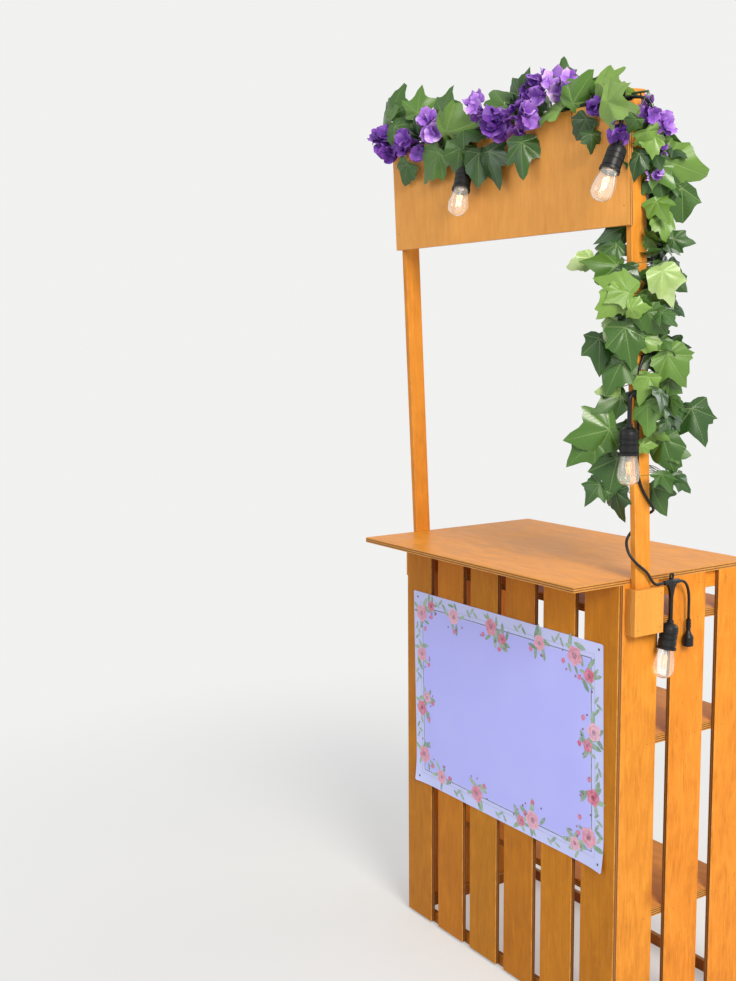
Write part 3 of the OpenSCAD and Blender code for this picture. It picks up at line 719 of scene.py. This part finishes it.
def make_print():
    """A generic border: layered blossoms with leaves, buds and berries, sprigs between them, and a
    thin double frame line. Petals: radius = 0.8 + 0.2 |cos 2.5 a|^0.7; leaves are ellipses."""
    x, z, size, rose = SPOTS.T
    size = size * 0.001
    count = len(x)
    petals = 0.80 + 0.20 * np.abs(np.cos(2.5 * circle(40))) ** 0.7
    disc = np.ones(10)
    blade = 0.30 / np.sqrt((0.30 * np.cos(circle(16))) ** 2 + np.sin(circle(16)) ** 2)
    pale, deep = np.array((0.80, 0.42, 0.55)), np.array((0.60, 0.07, 0.16))
    pink = pale + (deep - pale) * rose[:, None]
    inward = np.arctan2(-z, -x * 0.7)
    ink = print_material()
    shapes = []

    def near(turn, low, high):
        """Places round the blossoms, kept on the sheet, and their directions."""
        t = inward + 1.05 * turn + rng.normal(0, 0.35, count)
        r = rng.uniform(low, high, count) * size
        return np.clip(x + r * np.cos(t), -0.322, 0.322), np.clip(z + r * np.sin(t), -0.232, 0.232), t

    def printed(name, shapes):
        """All shapes as one piece."""
        part, tint = joined([part for part, _ in shapes]), np.concatenate([tint for _, tint in shapes])
        return mesh_object(name, part, ink, tint=tint, smooth=False)

    for k in range(6):
        px, pz, t = near(k, 1.0, 1.7)
        green = np.array((0.13, 0.26, 0.17)) + rng.uniform(0, 1, (count, 1)) * (0.18, 0.20, 0.12)
        shapes.append(dabs(px, pz, rng.uniform(0.011, 0.020, count), t + rng.normal(0, 0.5, count),
                           blade, green, 0.00022 + 0.00002 * k))
    for k in range(-1, 2):
        side = (-1) ** k
        flat = np.abs(SPRIGS[:, 1:]) > 0.2
        px, pz = (SPRIGS + np.where(flat, (k * 0.013, side * 0.004), (side * 0.004, k * 0.013))).T
        t = np.where(flat[:, 0], 0.0, np.pi / 2) + 0.7 * side + rng.normal(0, 0.25, len(px))
        green = np.array((0.17, 0.31, 0.21)) + rng.uniform(0, 1, (len(px), 1)) * (0.16, 0.16, 0.12)
        shapes.append(dabs(px, pz, rng.uniform(0.009, 0.013, len(px)), t, blade, green, 0.00034))
    for k, (share, dim, light, off) in enumerate((
            (1.0, 1.0, 0.04, 0.0), (0.78, 0.86, 0.0, 0.05), (0.56, 1.0, 0.03, 0.08), (0.38, 0.62, 0.0, 0.06),
            (0.20, 0.42, 0.0, 0.0))):
        t = rng.uniform(0, 6, count)
        shapes.append(dabs(x + off * size * np.cos(t), z + off * size * np.sin(t), size * share, t, petals,
                           pink * dim + light, 0.00038 + 0.00003 * k))
    for turn, low, high, wide, outline, shade in (
            (-0.5, 1.7, 2.0, 0.0065, petals[::2], (0.62, 0.12, 0.25)),
            (0.6, 1.5, 2.1, 0.003, disc, (0.22, 0.07, 0.20)),
            (-0.9, 1.6, 2.3, 0.0026, disc, (0.12, 0.07, 0.22)),
            (0.2, 1.5, 2.0, 0.0026, disc, (0.30, 0.08, 0.18))):
        px, pz, t = near(turn, low, high)
        shapes.append(dabs(px, pz, np.full(count, wide), t, outline, np.tile(shade, (count, 1)), 0.00036))
    flowers = printed("print_flowers", shapes)

    s, one = np.linspace(-1, 1, 81)[:-1], np.ones(80)
    square = np.concatenate([np.c_[s, -one], np.c_[one, s], np.c_[-s, one], np.c_[-one, -s]])
    lines = []
    for half, width, shade in (((0.2985, 0.2085), 0.0018, (0.05, 0.06, 0.14)),
                               ((0.3090, 0.2190), 0.0008, (0.30, 0.32, 0.55))):
        rims = np.vstack([square * (half + np.array(width)), square * half])
        part = sheet_face(*rims.T, 0.00022), [grid(2, len(square), True)]
        lines.append((part, np.tile(shade, (len(rims), 1))))
    return [flowers, printed("print_frame", lines)]


sheet = make_sheet()
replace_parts(sheet, "sign_sheet")
prints = make_print()
tack_places = sheet_face(np.array([-0.318, 0.322, -0.320, 0.321]), np.array([0.231, 0.232, -0.231, -0.230]))
tacks = mesh_object("sheet_tacks", heads(tack_places, [(0, -1, 0)] * 4, 0.0032, 0.0016),
                    metal("tack", (0.10, 0.09, 0.13), 0.35))


# Leaves and blossoms

# Leaves seen from the front: middle and tip direction in millimetres, and tone from dark to light;
# # the tone is partly the leaf's own green and partly painted light and shade, lit leaves light, shaded ones
# dark
HEADER_LEAVES = np.array([
    (-303, -188, 1876, -40, 0, -56, 0.35), (-199, -186, 1884, -86, 0, -75, 0.55),
    (-98, -190, 1880, -30, 0, -80, 0.45), (-30, -184, 1860, 1, 0, -89, 0.2),
    (18, -188, 1856, 28, 0, -99, 0.15), (120, -190, 1863, 8, 0, -90, 0.35),
    (-101, -192, 1943, 125, 0, -5, 0.7), (-383, -165, 2045, 16, 0, 95, 0.4),
    (-289, -160, 2034, 0, 0, 80, 0.6), (-178, -165, 2013, 23, 0, 72, 0.4), (20, -165, 1994, -51, 0, 63, 0.45),
    (83, -160, 2010, 35, 0, 56, 0.2), (208, -160, 2016, -1, 0, 59, 0.35), (267, -170, 1964, 62, 0, 63, 0.6),
    (358, -182, 1958, 76, -6, -34, 0.8), (393, -194, 1918, 86, 0, -38, 0.85),
    (196, -180, 1941, -98, 0, 15, 0.75), (286, -180, 1894, -48, 0, -51, 0.15),
    (316, -180, 1865, 1, 0, -44, 0.2), (434, -190, 1878, -29, 0, -32, 0.4),
    (-402, -180, 2014, -99, 0, 29, 0.5), (-326, -185, 1976, 83, 0, -39, 0.3),
    (-176, -180, 1929, -84, 0, -17, 0.4), (-65, -180, 1939, 90, 0, -22, 0.3),
    (56, -175, 1963, 35, 0, -43, 0.5), (141, -165, 1963, -56, 0, -12, 0.3),
])
POST_LEAVES = np.array([
    (389, -134, 1818, -5, -19, -50, 0.1), (387, -84, 1839, 0, -16, -71, 0.55),
    (423, -45, 1813, 47, 65, -30, 0.7), (398, -44, 1752, -25, -54, -69, 0.4),
    (347, -138, 1696, -33, -56, -23, 0.15), (380, -114, 1882, 17, 13, -55, 0.3),
    (375, -58, 1713, 24, 26, -42, 0.35), (343, -161, 1656, -27, -48, -31, 0.35),
    (309, -193, 1635, -23, -39, -16, 0.95), (355, -178, 1629, -40, -58, 13, 0.5),
    (387, -173, 1585, -36, -47, 35, 0.75), (386, -182, 1555, -18, -39, -49, 0.8),
    (373, -145, 1538, -27, -40, 0, 0.1), (355, -154, 1504, -8, -21, -38, 0.95),
    (378, -136, 1477, 16, 6, -82, 0.4), (325, -160, 1459, 7, -6, -73, 0.25),
    (365, -153, 1418, -14, -35, -62, 0.4), (343, -148, 1384, -23, -37, -7, 0.9),
    (383, -81, 1669, 12, 12, -29, 0.75), (366, -51, 1642, 9, 7, -31, 0.15),
    (428, -84, 1589, 21, 16, -69, 0.97), (398, -73, 1564, 38, 50, -37, 0.1),
    (414, -101, 1518, 26, 29, -47, 0.45), (415, -146, 1540, 24, 36, 0, 0.8),
    (383, -54, 1474, 28, 43, 0, 0.15), (421, -49, 1430, 30, 31, -62, 0.65), (388, -64, 1436, 11, 4, -57, 0.2),
    (414, -122, 1390, -5, -20, -53, 0.75), (408, -49, 1383, 5, -4, -53, 0.5),
    (345, -144, 1358, -29, -51, -33, 0.4), (334, -177, 1296, -45, -74, -22, 0.5),
    (316, -184, 1264, -24, -48, -52, 0.45), (327, -148, 1258, -5, -21, -55, 0.3),
    (346, -135, 1216, -4, -25, -82, 0.25), (317, -160, 1178, -14, -30, -38, 0.35),
    (341, -122, 1155, 9, 0, -63, 0.1), (420, -120, 1334, 6, -5, -63, 0.6), (416, -111, 1375, 8, 3, -39, 0.7),
    (413, -39, 1335, 16, 12, -54, 0.35), (431, 7, 1318, 23, 17, -76, 0.2), (417, -87, 1295, 23, 30, -22, 0.7),
    (419, -63, 1260, 19, 11, -75, 0.4), (409, -107, 1273, 17, 26, 0, 0.8), (378, -47, 1162, 19, 14, -62, 0.4),
    (350, -95, 1250, -13, -27, -34, 0.2), (335, -101, 1295, -19, -35, -22, 0.3),
    (353, -74, 1281, 18, 18, -43, 0.2),
])
COVER_LEAVES = np.array([
    (392, -158, 1590, 4, -6, -78, 0.1), (410, -146, 1535, 24, 12, -66, 0.45),
    (378, -165, 1552, -30, -20, -40, 0.7), (388, -152, 1602, 12, 0, -60, 0.3),
])
# Blossoms: middle and width of the cluster in millimetres, and tone; the tone is partly the silk's
# # own violet and partly painted light and shade
BLOSSOMS = np.array([
    (-395, -185, 1947, 62, 0.3), (-307, -185, 1946, 50, 0.3), (-255, -188, 1921, 38, 0.35),
    (-193, -190, 1962, 53, 0.8), (-96, -175, 1974, 36, 0.8), (-39, -178, 1985, 48, 0.6),
    (42, -195, 1928, 64, 0.4), (125, -195, 1934, 63, 0.5), (124, -170, 1993, 53, 0.5),
    (182, -170, 1992, 52, 0.75), (230, -170, 1982, 37, 0.5), (334, -180, 1920, 45, 0.15),
    (390, -185, 1879, 44, 0.2), (402, -118, 1923, 42, 0.5), (405, -92, 1898, 44, 0.6),
    (401, -81, 1862, 27, 0.5), (395, -71, 1844, 23, 0.5), (394, -90, 1798, 27, 0.8),
])

# A leaf's outline over half its turn, from tip to stalk: lobed and plain radius at each angle, and its veins
SPOKES = np.radians([0, 8, 16, 27, 36, 44, 50, 56, 66, 80, 92, 104, 114, 130, 150, 180])
IVY = np.array([.87, .71, .57, .48, .51, .57, .60, .55, .45, .38, .41, .43, .36, .27, .18, .12])
OVAL = np.array([.82, .74, .67, .59, .53, .48, .45, .42, .375, .33, .29, .255, .225, .185, .14, .11])
VEINS = np.radians([0, 50, -50, 104, -104])


def leaves(rows, facing, seed):
    """Lobed blades on rows of middle, tip direction and tone: radius(angle) about the stalk's end,
    folded along the midrib, drooping towards the tip and puckered between the veins. Gives (verts,
    faces), uv of distance from a vein and from the stalk, tint, and the stalks' ends."""
    r = np.random.default_rng(seed)
    middle, tip, tone = rows[:, :3], rows[:, 3:6], rows[:, 6:]
    count = len(rows)
    angle = np.r_[SPOKES, -SPOKES[-2:0:-1]]
    share = r.uniform(0.3, 1.0, (count, 1))
    lobe = (IVY * share + OVAL * (1 - share))[:, np.r_[:16, 14:0:-1]]
    lobe = lobe * (1 + 0.06 * r.normal(size=lobe.shape) * (np.abs(angle) > 0.05))
    out = np.array([0.34, 0.7, 1.0])[:, None]
    x, y = (np.c_[np.zeros(count), (out * (lobe * part)[:, None]).reshape(count, -1)]
            for part in (np.sin(angle), np.cos(angle)))
    rad, theta = np.hypot(x, y), np.arctan2(x, y)
    off = np.abs(np.angle(np.exp(1j * (theta[..., None] - VEINS))))
    vein = (rad[..., None] * np.sin(np.minimum(off, np.pi / 2))).min(-1)
    fold, droop, curl = (r.uniform(*span, (count, 1)) for span in ((0.05, 0.6), (0.1, 0.95), (-0.55, 0.55)))
    wave = r.uniform(0, 6.28, (count, 2))
    h = -fold * np.abs(x) * 0.8 - droop * np.maximum(y, 0) ** 2 * 0.6 + curl * x * y + 0.5 * vein * (1 - rad)
    h += 0.055 * rad * np.sin(5 * theta + wave[:, :1]) + 0.03 * rad * np.sin(9 * y + wave[:, 1:])
    length = np.linalg.norm(tip, axis=1)[:, None]
    t = unit(tip)
    n = unit(facing - (facing * t).sum(1, keepdims=True) * t)
    wide = r.uniform(0.9, 1.15, (count, 1))
    base = middle - 0.28 * tip
    verts = framed(base[:, None], (x * wide * length, np.cross(t, n)[:, None]), (y * length, t[:, None]),
                   (h * length, n[:, None]))
    m = len(angle)
    j = np.arange(m)
    fan = np.c_[(j + 1) % m + 1, j + 1, 0 * j]
    uv = np.stack([vein, rad], -1)
    tint = np.stack(np.broadcast_arrays(tone, rad, r.uniform(0, 1, (count, 1))), -1)
    part = verts.reshape(-1, 3), [copies(faces, count, 1 + 3 * m) for faces in (grid(3, m, True) + 1, fan)]
    return part, uv.reshape(-1, 2), tint.reshape(-1, 3), base


def leaf_material():
    """Printed cloth leaf: dark to light green by its tone, which holds painted light and shade,
    pale veins, and creamy edges on some of the lightest, partly variegation and partly painted highlight.
    """
    made, tree, shader = material("foliage")
    side, reach, _ = parts_of(tree, add(tree, "ShaderNodeUVMap", uv_map="UVMap").outputs[0])
    tone, rad, chance = add(tree, "ShaderNodeSeparateColor", {0: painted(tree)}).outputs
    # The darkest stops are painted shade, the lightest partly painted light.
    green = ramp(tree, tone, (0.0, (0.008, 0.034, 0.008)), (0.35, (0.030, 0.090, 0.010)),
                 (0.6, (0.082, 0.185, 0.022)), (0.85, (0.20, 0.34, 0.055)), (1.0, (0.34, 0.47, 0.16)))
    mottle = noise(tree, object_place(tree), 75.0, 3, 0.6)
    patches = calc(tree, "MULTIPLY_ADD", mottle, 0.9, -0.2, clamp=True)
    color = blend(tree, 0.35, green, blend(tree, patches, green, rgb(0.015, 0.07, 0.012)))
    branch = calc(tree, "SINE", times(tree, calc(tree, "SUBTRACT", reach, side), 95.0))
    branch = times(tree, step(tree, branch, 0.75, 1.0), step(tree, side, 0.12, 0.06))
    width = weighted(tree, 0.0128, (reach, -0.012))
    vein = step(tree, calc(tree, "DIVIDE", side, width), 1.3, 0.5)
    vein = calc(tree, "MAXIMUM", vein, times(tree, branch, 0.3))
    color = blend(tree, times(tree, vein, 0.6), color, blend(tree, 0.4, green, rgb(0.40, 0.55, 0.20)))
    # A creamy rim on the lightest leaves: partly variegation, partly painted highlight.
    rim = step(tree, calc(tree, "ADD", rad, mottle), 0.85, 1.15)
    cream_and_highlight = times(tree, step(tree, tone, 0.80, 0.95), rim, 0.5)
    feed(tree, shader, {
        "Base Color": blend(tree, cream_and_highlight, color, rgb(0.50, 0.60, 0.34)),
        "Roughness": weighted(tree, 0.27, (chance, 0.2)),
        "Normal": bump(tree, weighted(tree, 0.0, (mottle, 0.5), (vein, -0.8)), 0.5, 0.0008)})
    return made


def florets(middle, size, facing, tone, seed):
    """Five ruffled petals each: along v from the eye, across u, cupped and waved at the rim."""
    r = np.random.default_rng(seed)
    count = len(middle)
    v, u = np.meshgrid(np.linspace(0.06, 1, 5), np.linspace(-1, 1, 5), indexing="ij")
    v, u = v.ravel(), u.ravel()
    turn = circle(5)[:, None] + r.uniform(0, 6.28, (count, 1, 1)) + r.normal(0, 0.2, (count, 5, 1))
    cup = r.uniform(0.1, 1.1, (count, 1, 1)) + r.normal(0, 0.25, (count, 5, 1))
    length = r.uniform(0.75, 1.2, (count, 5, 1))
    side = u * 0.68 * np.sqrt(np.sin(np.pi * (0.04 + 0.83 * v))) * (1 - 0.1 * (1 - np.abs(u)) * (v > 0.9))
    out = v * (1 - 0.16 * u ** 2 * v)
    ruffle = 0.17 * v ** 2 * np.sin(4.8 * u + r.uniform(0, 6.28, (count, 5, 1)))
    lift = cup * out ** 1.4 * 0.7 - 0.25 * side ** 2 * (1 + cup) + ruffle
    flat = out * np.sqrt(np.maximum(1 - (cup * 0.5) ** 2, 0.1))
    n = unit(facing)[:, None, None]
    a = unit(np.cross(n, (0.21, 0.37, 0.9)))
    rad = (size / 2)[:, None, None] * length
    verts = framed(middle[:, None, None], ((flat * np.cos(turn) - side * np.sin(turn)) * rad, a),
                   ((flat * np.sin(turn) + side * np.cos(turn)) * rad, np.cross(n, a)), (lift * rad, n))
    tint = np.stack(np.broadcast_arrays(tone[:, None, None] + r.normal(0, 0.1, (count, 5, 1)), v,
                                        r.uniform(0, 1, (count, 5, 1))), -1)
    return (verts.reshape(-1, 3), [copies(grid(5, 5)[:, ::-1], count * 5, 25)]), tint.reshape(-1, 3)


def petal_material():
    """Violet silk, paler with the tone and towards the rim: the deep purple is partly painted
    shade, and the lilac rims are partly the silk's own and partly painted highlight.
    """
    made, tree, shader = material("petals")
    tone, rim, _ = add(tree, "ShaderNodeSeparateColor", {0: painted(tree)}).outputs
    share = weighted(tree, -0.3, (tone, 0.7), (rim, 0.45), (noise(tree, object_place(tree), 140.0), 0.3))
    feed(tree, shader, {
        "Base Color": ramp(tree, share, (0.0, (0.055, 0.010, 0.18)), (0.4, (0.18, 0.048, 0.40)),
                           (0.7, (0.38, 0.17, 0.64)), (1.0, (0.74, 0.52, 0.88))), "Roughness": 0.55})
    return made


def stem_material():
    """Wrapped wire, dark green to dull olive."""
    made, tree, shader = material("stems")
    mottle = noise(tree, object_place(tree), 90.0, 3, 0.6)
    feed(tree, shader, {"Base Color": blend(tree, mottle, rgb(0.030, 0.060, 0.016), rgb(0.10, 0.13, 0.045)),
                        "Roughness": 0.5})
    return made


# The garlands

green, violet, brown = leaf_material(), petal_material(), stem_material()


def hang_leaves(node, rows, facing, seed):
    """The leaves that replace a garland's node. Gives their stalks' ends and the ways back to the vine."""
    part, uv, tint, base = leaves(rows, facing, seed)
    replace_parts(mesh_object(f"{node}_leaves", part, green, uv, tint), node)
    return base, -unit(rows[:, 3:6])


def header_leaves():
    """The header's leaves: those seen from the front, and darker ones at random behind and on top,
    their darkness painted shade. They turn to the side that they were seen from."""
    head = metres(HEADER_LEAVES)
    count = 74
    x = rng.uniform(-0.43, 0.33, count)
    a = rng.uniform(-1.9, 1.9, count)
    size = rng.uniform(0.036, 0.062, count)
    tip = np.stack([np.sin(a), rng.normal(0, 0.35, count) + 0.25, np.cos(a) * 0.9 + 0.1], 1)
    tip = unit(tip) * size[:, None]
    middle = np.stack([x, rng.normal(0, 0.007, count) - 0.150, 1.954 + 0.012 * rng.uniform(-1, 1, count)], 1)
    middle += 0.45 * tip
    left_out = (x > 0.10) & (x < 0.27) & (rng.uniform(size=count) < 0.8)  # thinner left of the right lamp
    # The fillers' low tones are painted shade.
    filler = np.c_[middle, tip, rng.uniform(0.0, 0.45, count)][~left_out]
    rows = np.vstack([head, filler])
    facing = 0.8 * unit(CAMERA_PLACE - rows[:, :3]) + (0, -0.25, 0.25) + rng.normal(0, 0.36, (len(rows), 3))
    facing[len(head):] += rng.normal(0, 0.45, (len(filler), 3))
    return hang_leaves("header_garland", rows, facing, 21)


def make_blossoms():
    """Clusters of florets about their middles, facing away from them and to the front; every second
    one of the draw is kept. Gives the florets' middles, and the ways back to the vine."""
    rows = metres(BLOSSOMS)
    beside = rows[:, 0] > 0.39  # these hang before the cable at the right end
    rows[beside, :3] += 0.034 * unit(CAMERA_PLACE - rows[beside, :3])
    drawn = []
    for x, y, z, width, tone in rows:
        n = 11 if width > 0.045 else 6
        spread = width * 0.44
        away = rng.uniform(-1, 1, (n, 3)) * spread * (1, 0.4, 1)
        toward = unit(away + np.array((0.7, -0.9, 0.25)) * spread + rng.normal(0, 0.5, (n, 3)) * spread)
        size, shade = width * rng.uniform(0.66, 0.98, n), tone + rng.normal(0, 0.12, n)
        drawn.append((away + (x, y, z), size, toward, shade))
    middle, size, toward, tone = (np.concatenate([part[::2] for part in parts]) for parts in zip(*drawn))
    part, tint = florets(middle, size, toward, tone, 5)
    mesh_object("garland_blossoms", part, violet, tint=tint)
    return middle, -toward


def cover_leaves():
    """Leaves that hang before the cable, down the outer side of the post."""
    count = 15
    z = np.linspace(1.885, 1.47, count)
    path = cable_path[(cable_path[:, 0] > 0.385) & (cable_path[:, 2] < 1.92)]
    at = np.stack([np.interp(z, path[::-1, 2], path[::-1, k]) for k in range(3)], 1)
    toward = unit((CAMERA_PLACE - at) * (1, 1, 0))
    tip = [rng.normal(0.5, 0.5, count), rng.normal(0.1, 0.4, count), -rng.uniform(0.3, 1.2, count)]
    tip = unit(np.stack(tip, 1)) * rng.uniform(0.052, 0.074, count)[:, None]
    spread = np.stack([rng.normal(0, width, count) for width in (0.006, 0.006, 0.008)], 1)
    # clear of the post's face
    aside = 0.014 * np.clip(2.2 - np.abs(z - 1.730) / 0.07, 0, 1)[:, None] * (0.55, 0.835, 0)
    rows = np.c_[at + 0.026 * toward + spread + aside + 0.1 * tip, tip, rng.uniform(0.05, 0.8, count)]
    return np.vstack([rows, metres(COVER_LEAVES)])


def post_leaves():
    """The post's leaves: those seen from the front, those before the cable, and darker ones at
    random round the far side, their darkness painted shade."""
    near = metres(POST_LEAVES)
    near[:, 3:6] *= 1.22  # they are seen at a slant
    beside = (near[:, 0] > 0.375) & (near[:, 2] > 1.40)
    near[beside, :3] += 0.020 * unit(CAMERA_PLACE - near[beside, :3])
    near = np.vstack([near, cover_leaves()])
    count = 66
    z = rng.uniform(0.30, 1.0, count)
    a = rng.uniform(-0.25, math.pi * 0.78, count)
    a = np.where((np.abs(z - 0.845) < 0.125) & (a < 0.5), a + 0.9, a)  # the post's face stays bare there
    reach = rng.uniform(0.020, 0.045, count)
    radial = np.stack([np.cos(a), np.sin(a), np.zeros(count)], 1)
    start = on_posts(POST_X + 0.020 * np.cos(a), 0.030 + 0.028 * np.sin(a), z)
    down = np.stack([rng.normal(0, 0.5, count), rng.normal(0, 0.3, count), -rng.uniform(0.2, 1.2, count)], 1)
    tip = unit(down + radial * 0.9) * rng.uniform(0.036, 0.062, count)[:, None]
    # The fillers' low tones are painted shade.
    filler = np.c_[start + radial * reach[:, None] + 0.3 * tip, tip, rng.uniform(0.05, 0.5, count)]
    rows = np.vstack([near, filler])
    place = rows[:, :3]
    post_y = FOOT[1] - (place[:, 2] - FOOT[2]) * math.tan(LEAN) + 0.021
    from_post = unit(place - np.stack([np.full(len(rows), POST_X), post_y, place[:, 2]], 1))
    facing = 0.9 * unit(CAMERA_PLACE - place) + 0.2 * from_post + rng.normal(0, 0.3, (len(rows), 3))
    facing += (0, 0, 0.15)
    facing[len(near):] += 0.5 * radial + rng.normal(0, 0.35, (len(filler), 3))
    return hang_leaves("post_garland", rows, facing, 22)


def stalks(ends, back, vine, seed):
    """Thin stalks from the nearest point of the vine to each end: quadratic curves that arrive
    along the leaf's midrib."""
    r = np.random.default_rng(seed)
    s = np.linspace(0, 1, 6)[:, None]
    start = vine[np.argmin(np.linalg.norm(ends[:, None] - vine, axis=-1), axis=1)]
    mid = (start + ends) / 2 + back * 0.014 + r.normal(0, 0.003, ends.shape)
    paths = (1 - s) ** 2 * start[:, None] + 2 * s * (1 - s) * mid[:, None] + s ** 2 * ends[:, None]
    return [tube(path, 0.0008, 5) for path in paths]


def squarer(v, power):
    """A cosine or sine, drawn out towards the corners of a square."""
    return np.sign(v) * np.abs(v) ** power


def header_tie(x):
    """A wire tie: a closed loop round the vine and the header board's upper edge."""
    c, s = np.cos(circle(24)), np.sin(circle(24))
    z = HEADER_TOP + np.where(s > 0, 0.009, 0.03) * s
    loop = on_posts(x + 0.002 * s, 0.0078 * squarer(c, 0.35) - 0.006, z)
    return tube(loop[np.r_[:24, 0]], 0.0006, 5)


def post_tie(z):
    """A wire tie: a closed loop round the post, the vines and the cable behind it."""
    c, s = np.cos(circle(32)), np.sin(circle(32))
    x, y = POST_X + 0.0065 + 0.0275 * squarer(c, 0.5), 0.0275 + 0.0315 * squarer(s, 0.5)
    loop = on_posts(x, y, z + 0.003 * c)
    return tube(loop[np.r_[:32, 0]], 0.0007, 5)


def make_garlands():
    """Leaves and blossoms with their stalks, on one waved vine along the header's upper edge and
    two down the post, held by wire ties."""
    s = np.linspace(-1, 1, 40)
    z = HEADER_TOP + 0.003 + 0.0015 * (1 + np.sin(23 * s))
    along = on_posts(0.437 * s, 0.0003 * np.sin(9 * s + 1) - 0.003, z)
    z = np.linspace(1.035, 0.275, 34)
    inner = on_posts(POST_X - 0.0145 - 0.003 * np.sin(40 * z), 0.018 + 0.010 * np.sin(17 * z), z)
    z = np.linspace(1.035, 0.33, 30)
    outer = on_posts(POST_X - 0.003 + 0.003 * np.sin(31 * z), 0.046 + 0.001 * np.sin(13 * z + 1), z)

    base, back = header_leaves()
    middle, behind = make_blossoms()
    on_head = middle[:, 1] < -0.12
    parts = [tube(smooth_path(along, 2), 0.0024, 7), *stalks(base, back, along, 3),
             *stalks(middle[on_head], behind[on_head], along, 4),
             *(header_tie(x) for x in (-0.33, -0.15, 0.05, 0.24, 0.36))]
    mesh_object("header_garland_stems", joined(parts), brown)

    base, back = post_leaves()
    right = base[:, 0] > POST_X
    parts = [*(tube(smooth_path(vine, 2), 0.0022, 7) for vine in (inner, outer)),
             *stalks(base[right], back[right], outer, 6), *stalks(base[~right], back[~right], inner, 7),
             *stalks(middle[~on_head], behind[~on_head], outer, 8),
             *(post_tie(z) for z in (0.955, 0.73, 0.515, 0.315))]
    mesh_object("post_garland_stems", joined(parts), brown)


make_garlands()


# Floor, backdrop and light

PAPER = {"Color": rgb(0.93, 0.93, 0.92), "Strength": 0.95}  # as the camera sees the backdrop


def shown(tree):
    """Mask of the rays that show the backdrop: straight to the camera, off metal or through glass."""
    ray = add(tree, "ShaderNodeLightPath").outputs
    reflected = calc(tree, "MAXIMUM", ray["Is Glossy Ray"], ray["Is Transmission Ray"])
    return calc(tree, "MAXIMUM", ray["Is Camera Ray"], reflected)


def make_floor():
    """A round floor just under the booth; away from it, it is seen as plain as the backdrop."""
    made, tree, shader = material("floor")
    place = object_place(tree)
    tone = blend(tree, noise(tree, place, 0.8), rgb(0.78, 0.78, 0.77), rgb(0.80, 0.80, 0.79))
    feed(tree, shader, {"Base Color": tone, "Roughness": 0.9, "Specular IOR Level": 0.1})
    far = step(tree, vector_calc(tree, "LENGTH", place), 0.7, 2.8)
    mix_shaders(tree, times(tree, weighted(tree, 0.38, (far, 0.62)), shown(tree)), shader,
                add(tree, "ShaderNodeEmission", PAPER), "Material Output")
    a = circle(96)
    mesh = bpy.data.meshes.new("floor")
    mesh.from_pydata(np.c_[40 * np.cos(a), 40 * np.sin(a), 0 * a - 0.0005].tolist(), [], [list(range(96))])
    mesh.materials.append(made)
    linked("floor", mesh)


def make_world():
    """An even, slightly cool light all round."""
    world = bpy.data.worlds.new("studio")
    bpy.context.scene.world = world
    world.use_nodes = True
    tree = world.node_tree
    back = tree.nodes["Background"]
    feed(tree, back, {"Color": rgb(0.94, 0.97, 1.0), "Strength": 0.48})
    mix_shaders(tree, shown(tree), back, add(tree, "ShaderNodeBackground", PAPER), "World Output")


def area_light(name, place, target, size, power, tint):
    """A round lamp at place that faces target."""
    data = bpy.data.lights.new(name, "AREA")
    data.shape, data.size, data.energy, data.color = "DISK", size, power, tint
    light = linked(name, data)
    light.location = place
    light.rotation_euler = (Vector(target) - Vector(place)).to_track_quat("-Z", "Y").to_euler()


make_floor()
make_world()
area_light("key", (4.2, -1.2, 3.6), (0.2, -0.1, 1.1), 2.2, 250, (1.0, 0.95, 0.86))
area_light("back", (1.2, 4.4, 3.4), (0, 0, 1.0), 3.0, 80, (0.97, 0.98, 1.0))
area_light("fill", (-1.5, -4.5, 3.0), (0, 0, 1.0), 3.0, 46, (0.95, 0.97, 1.0))
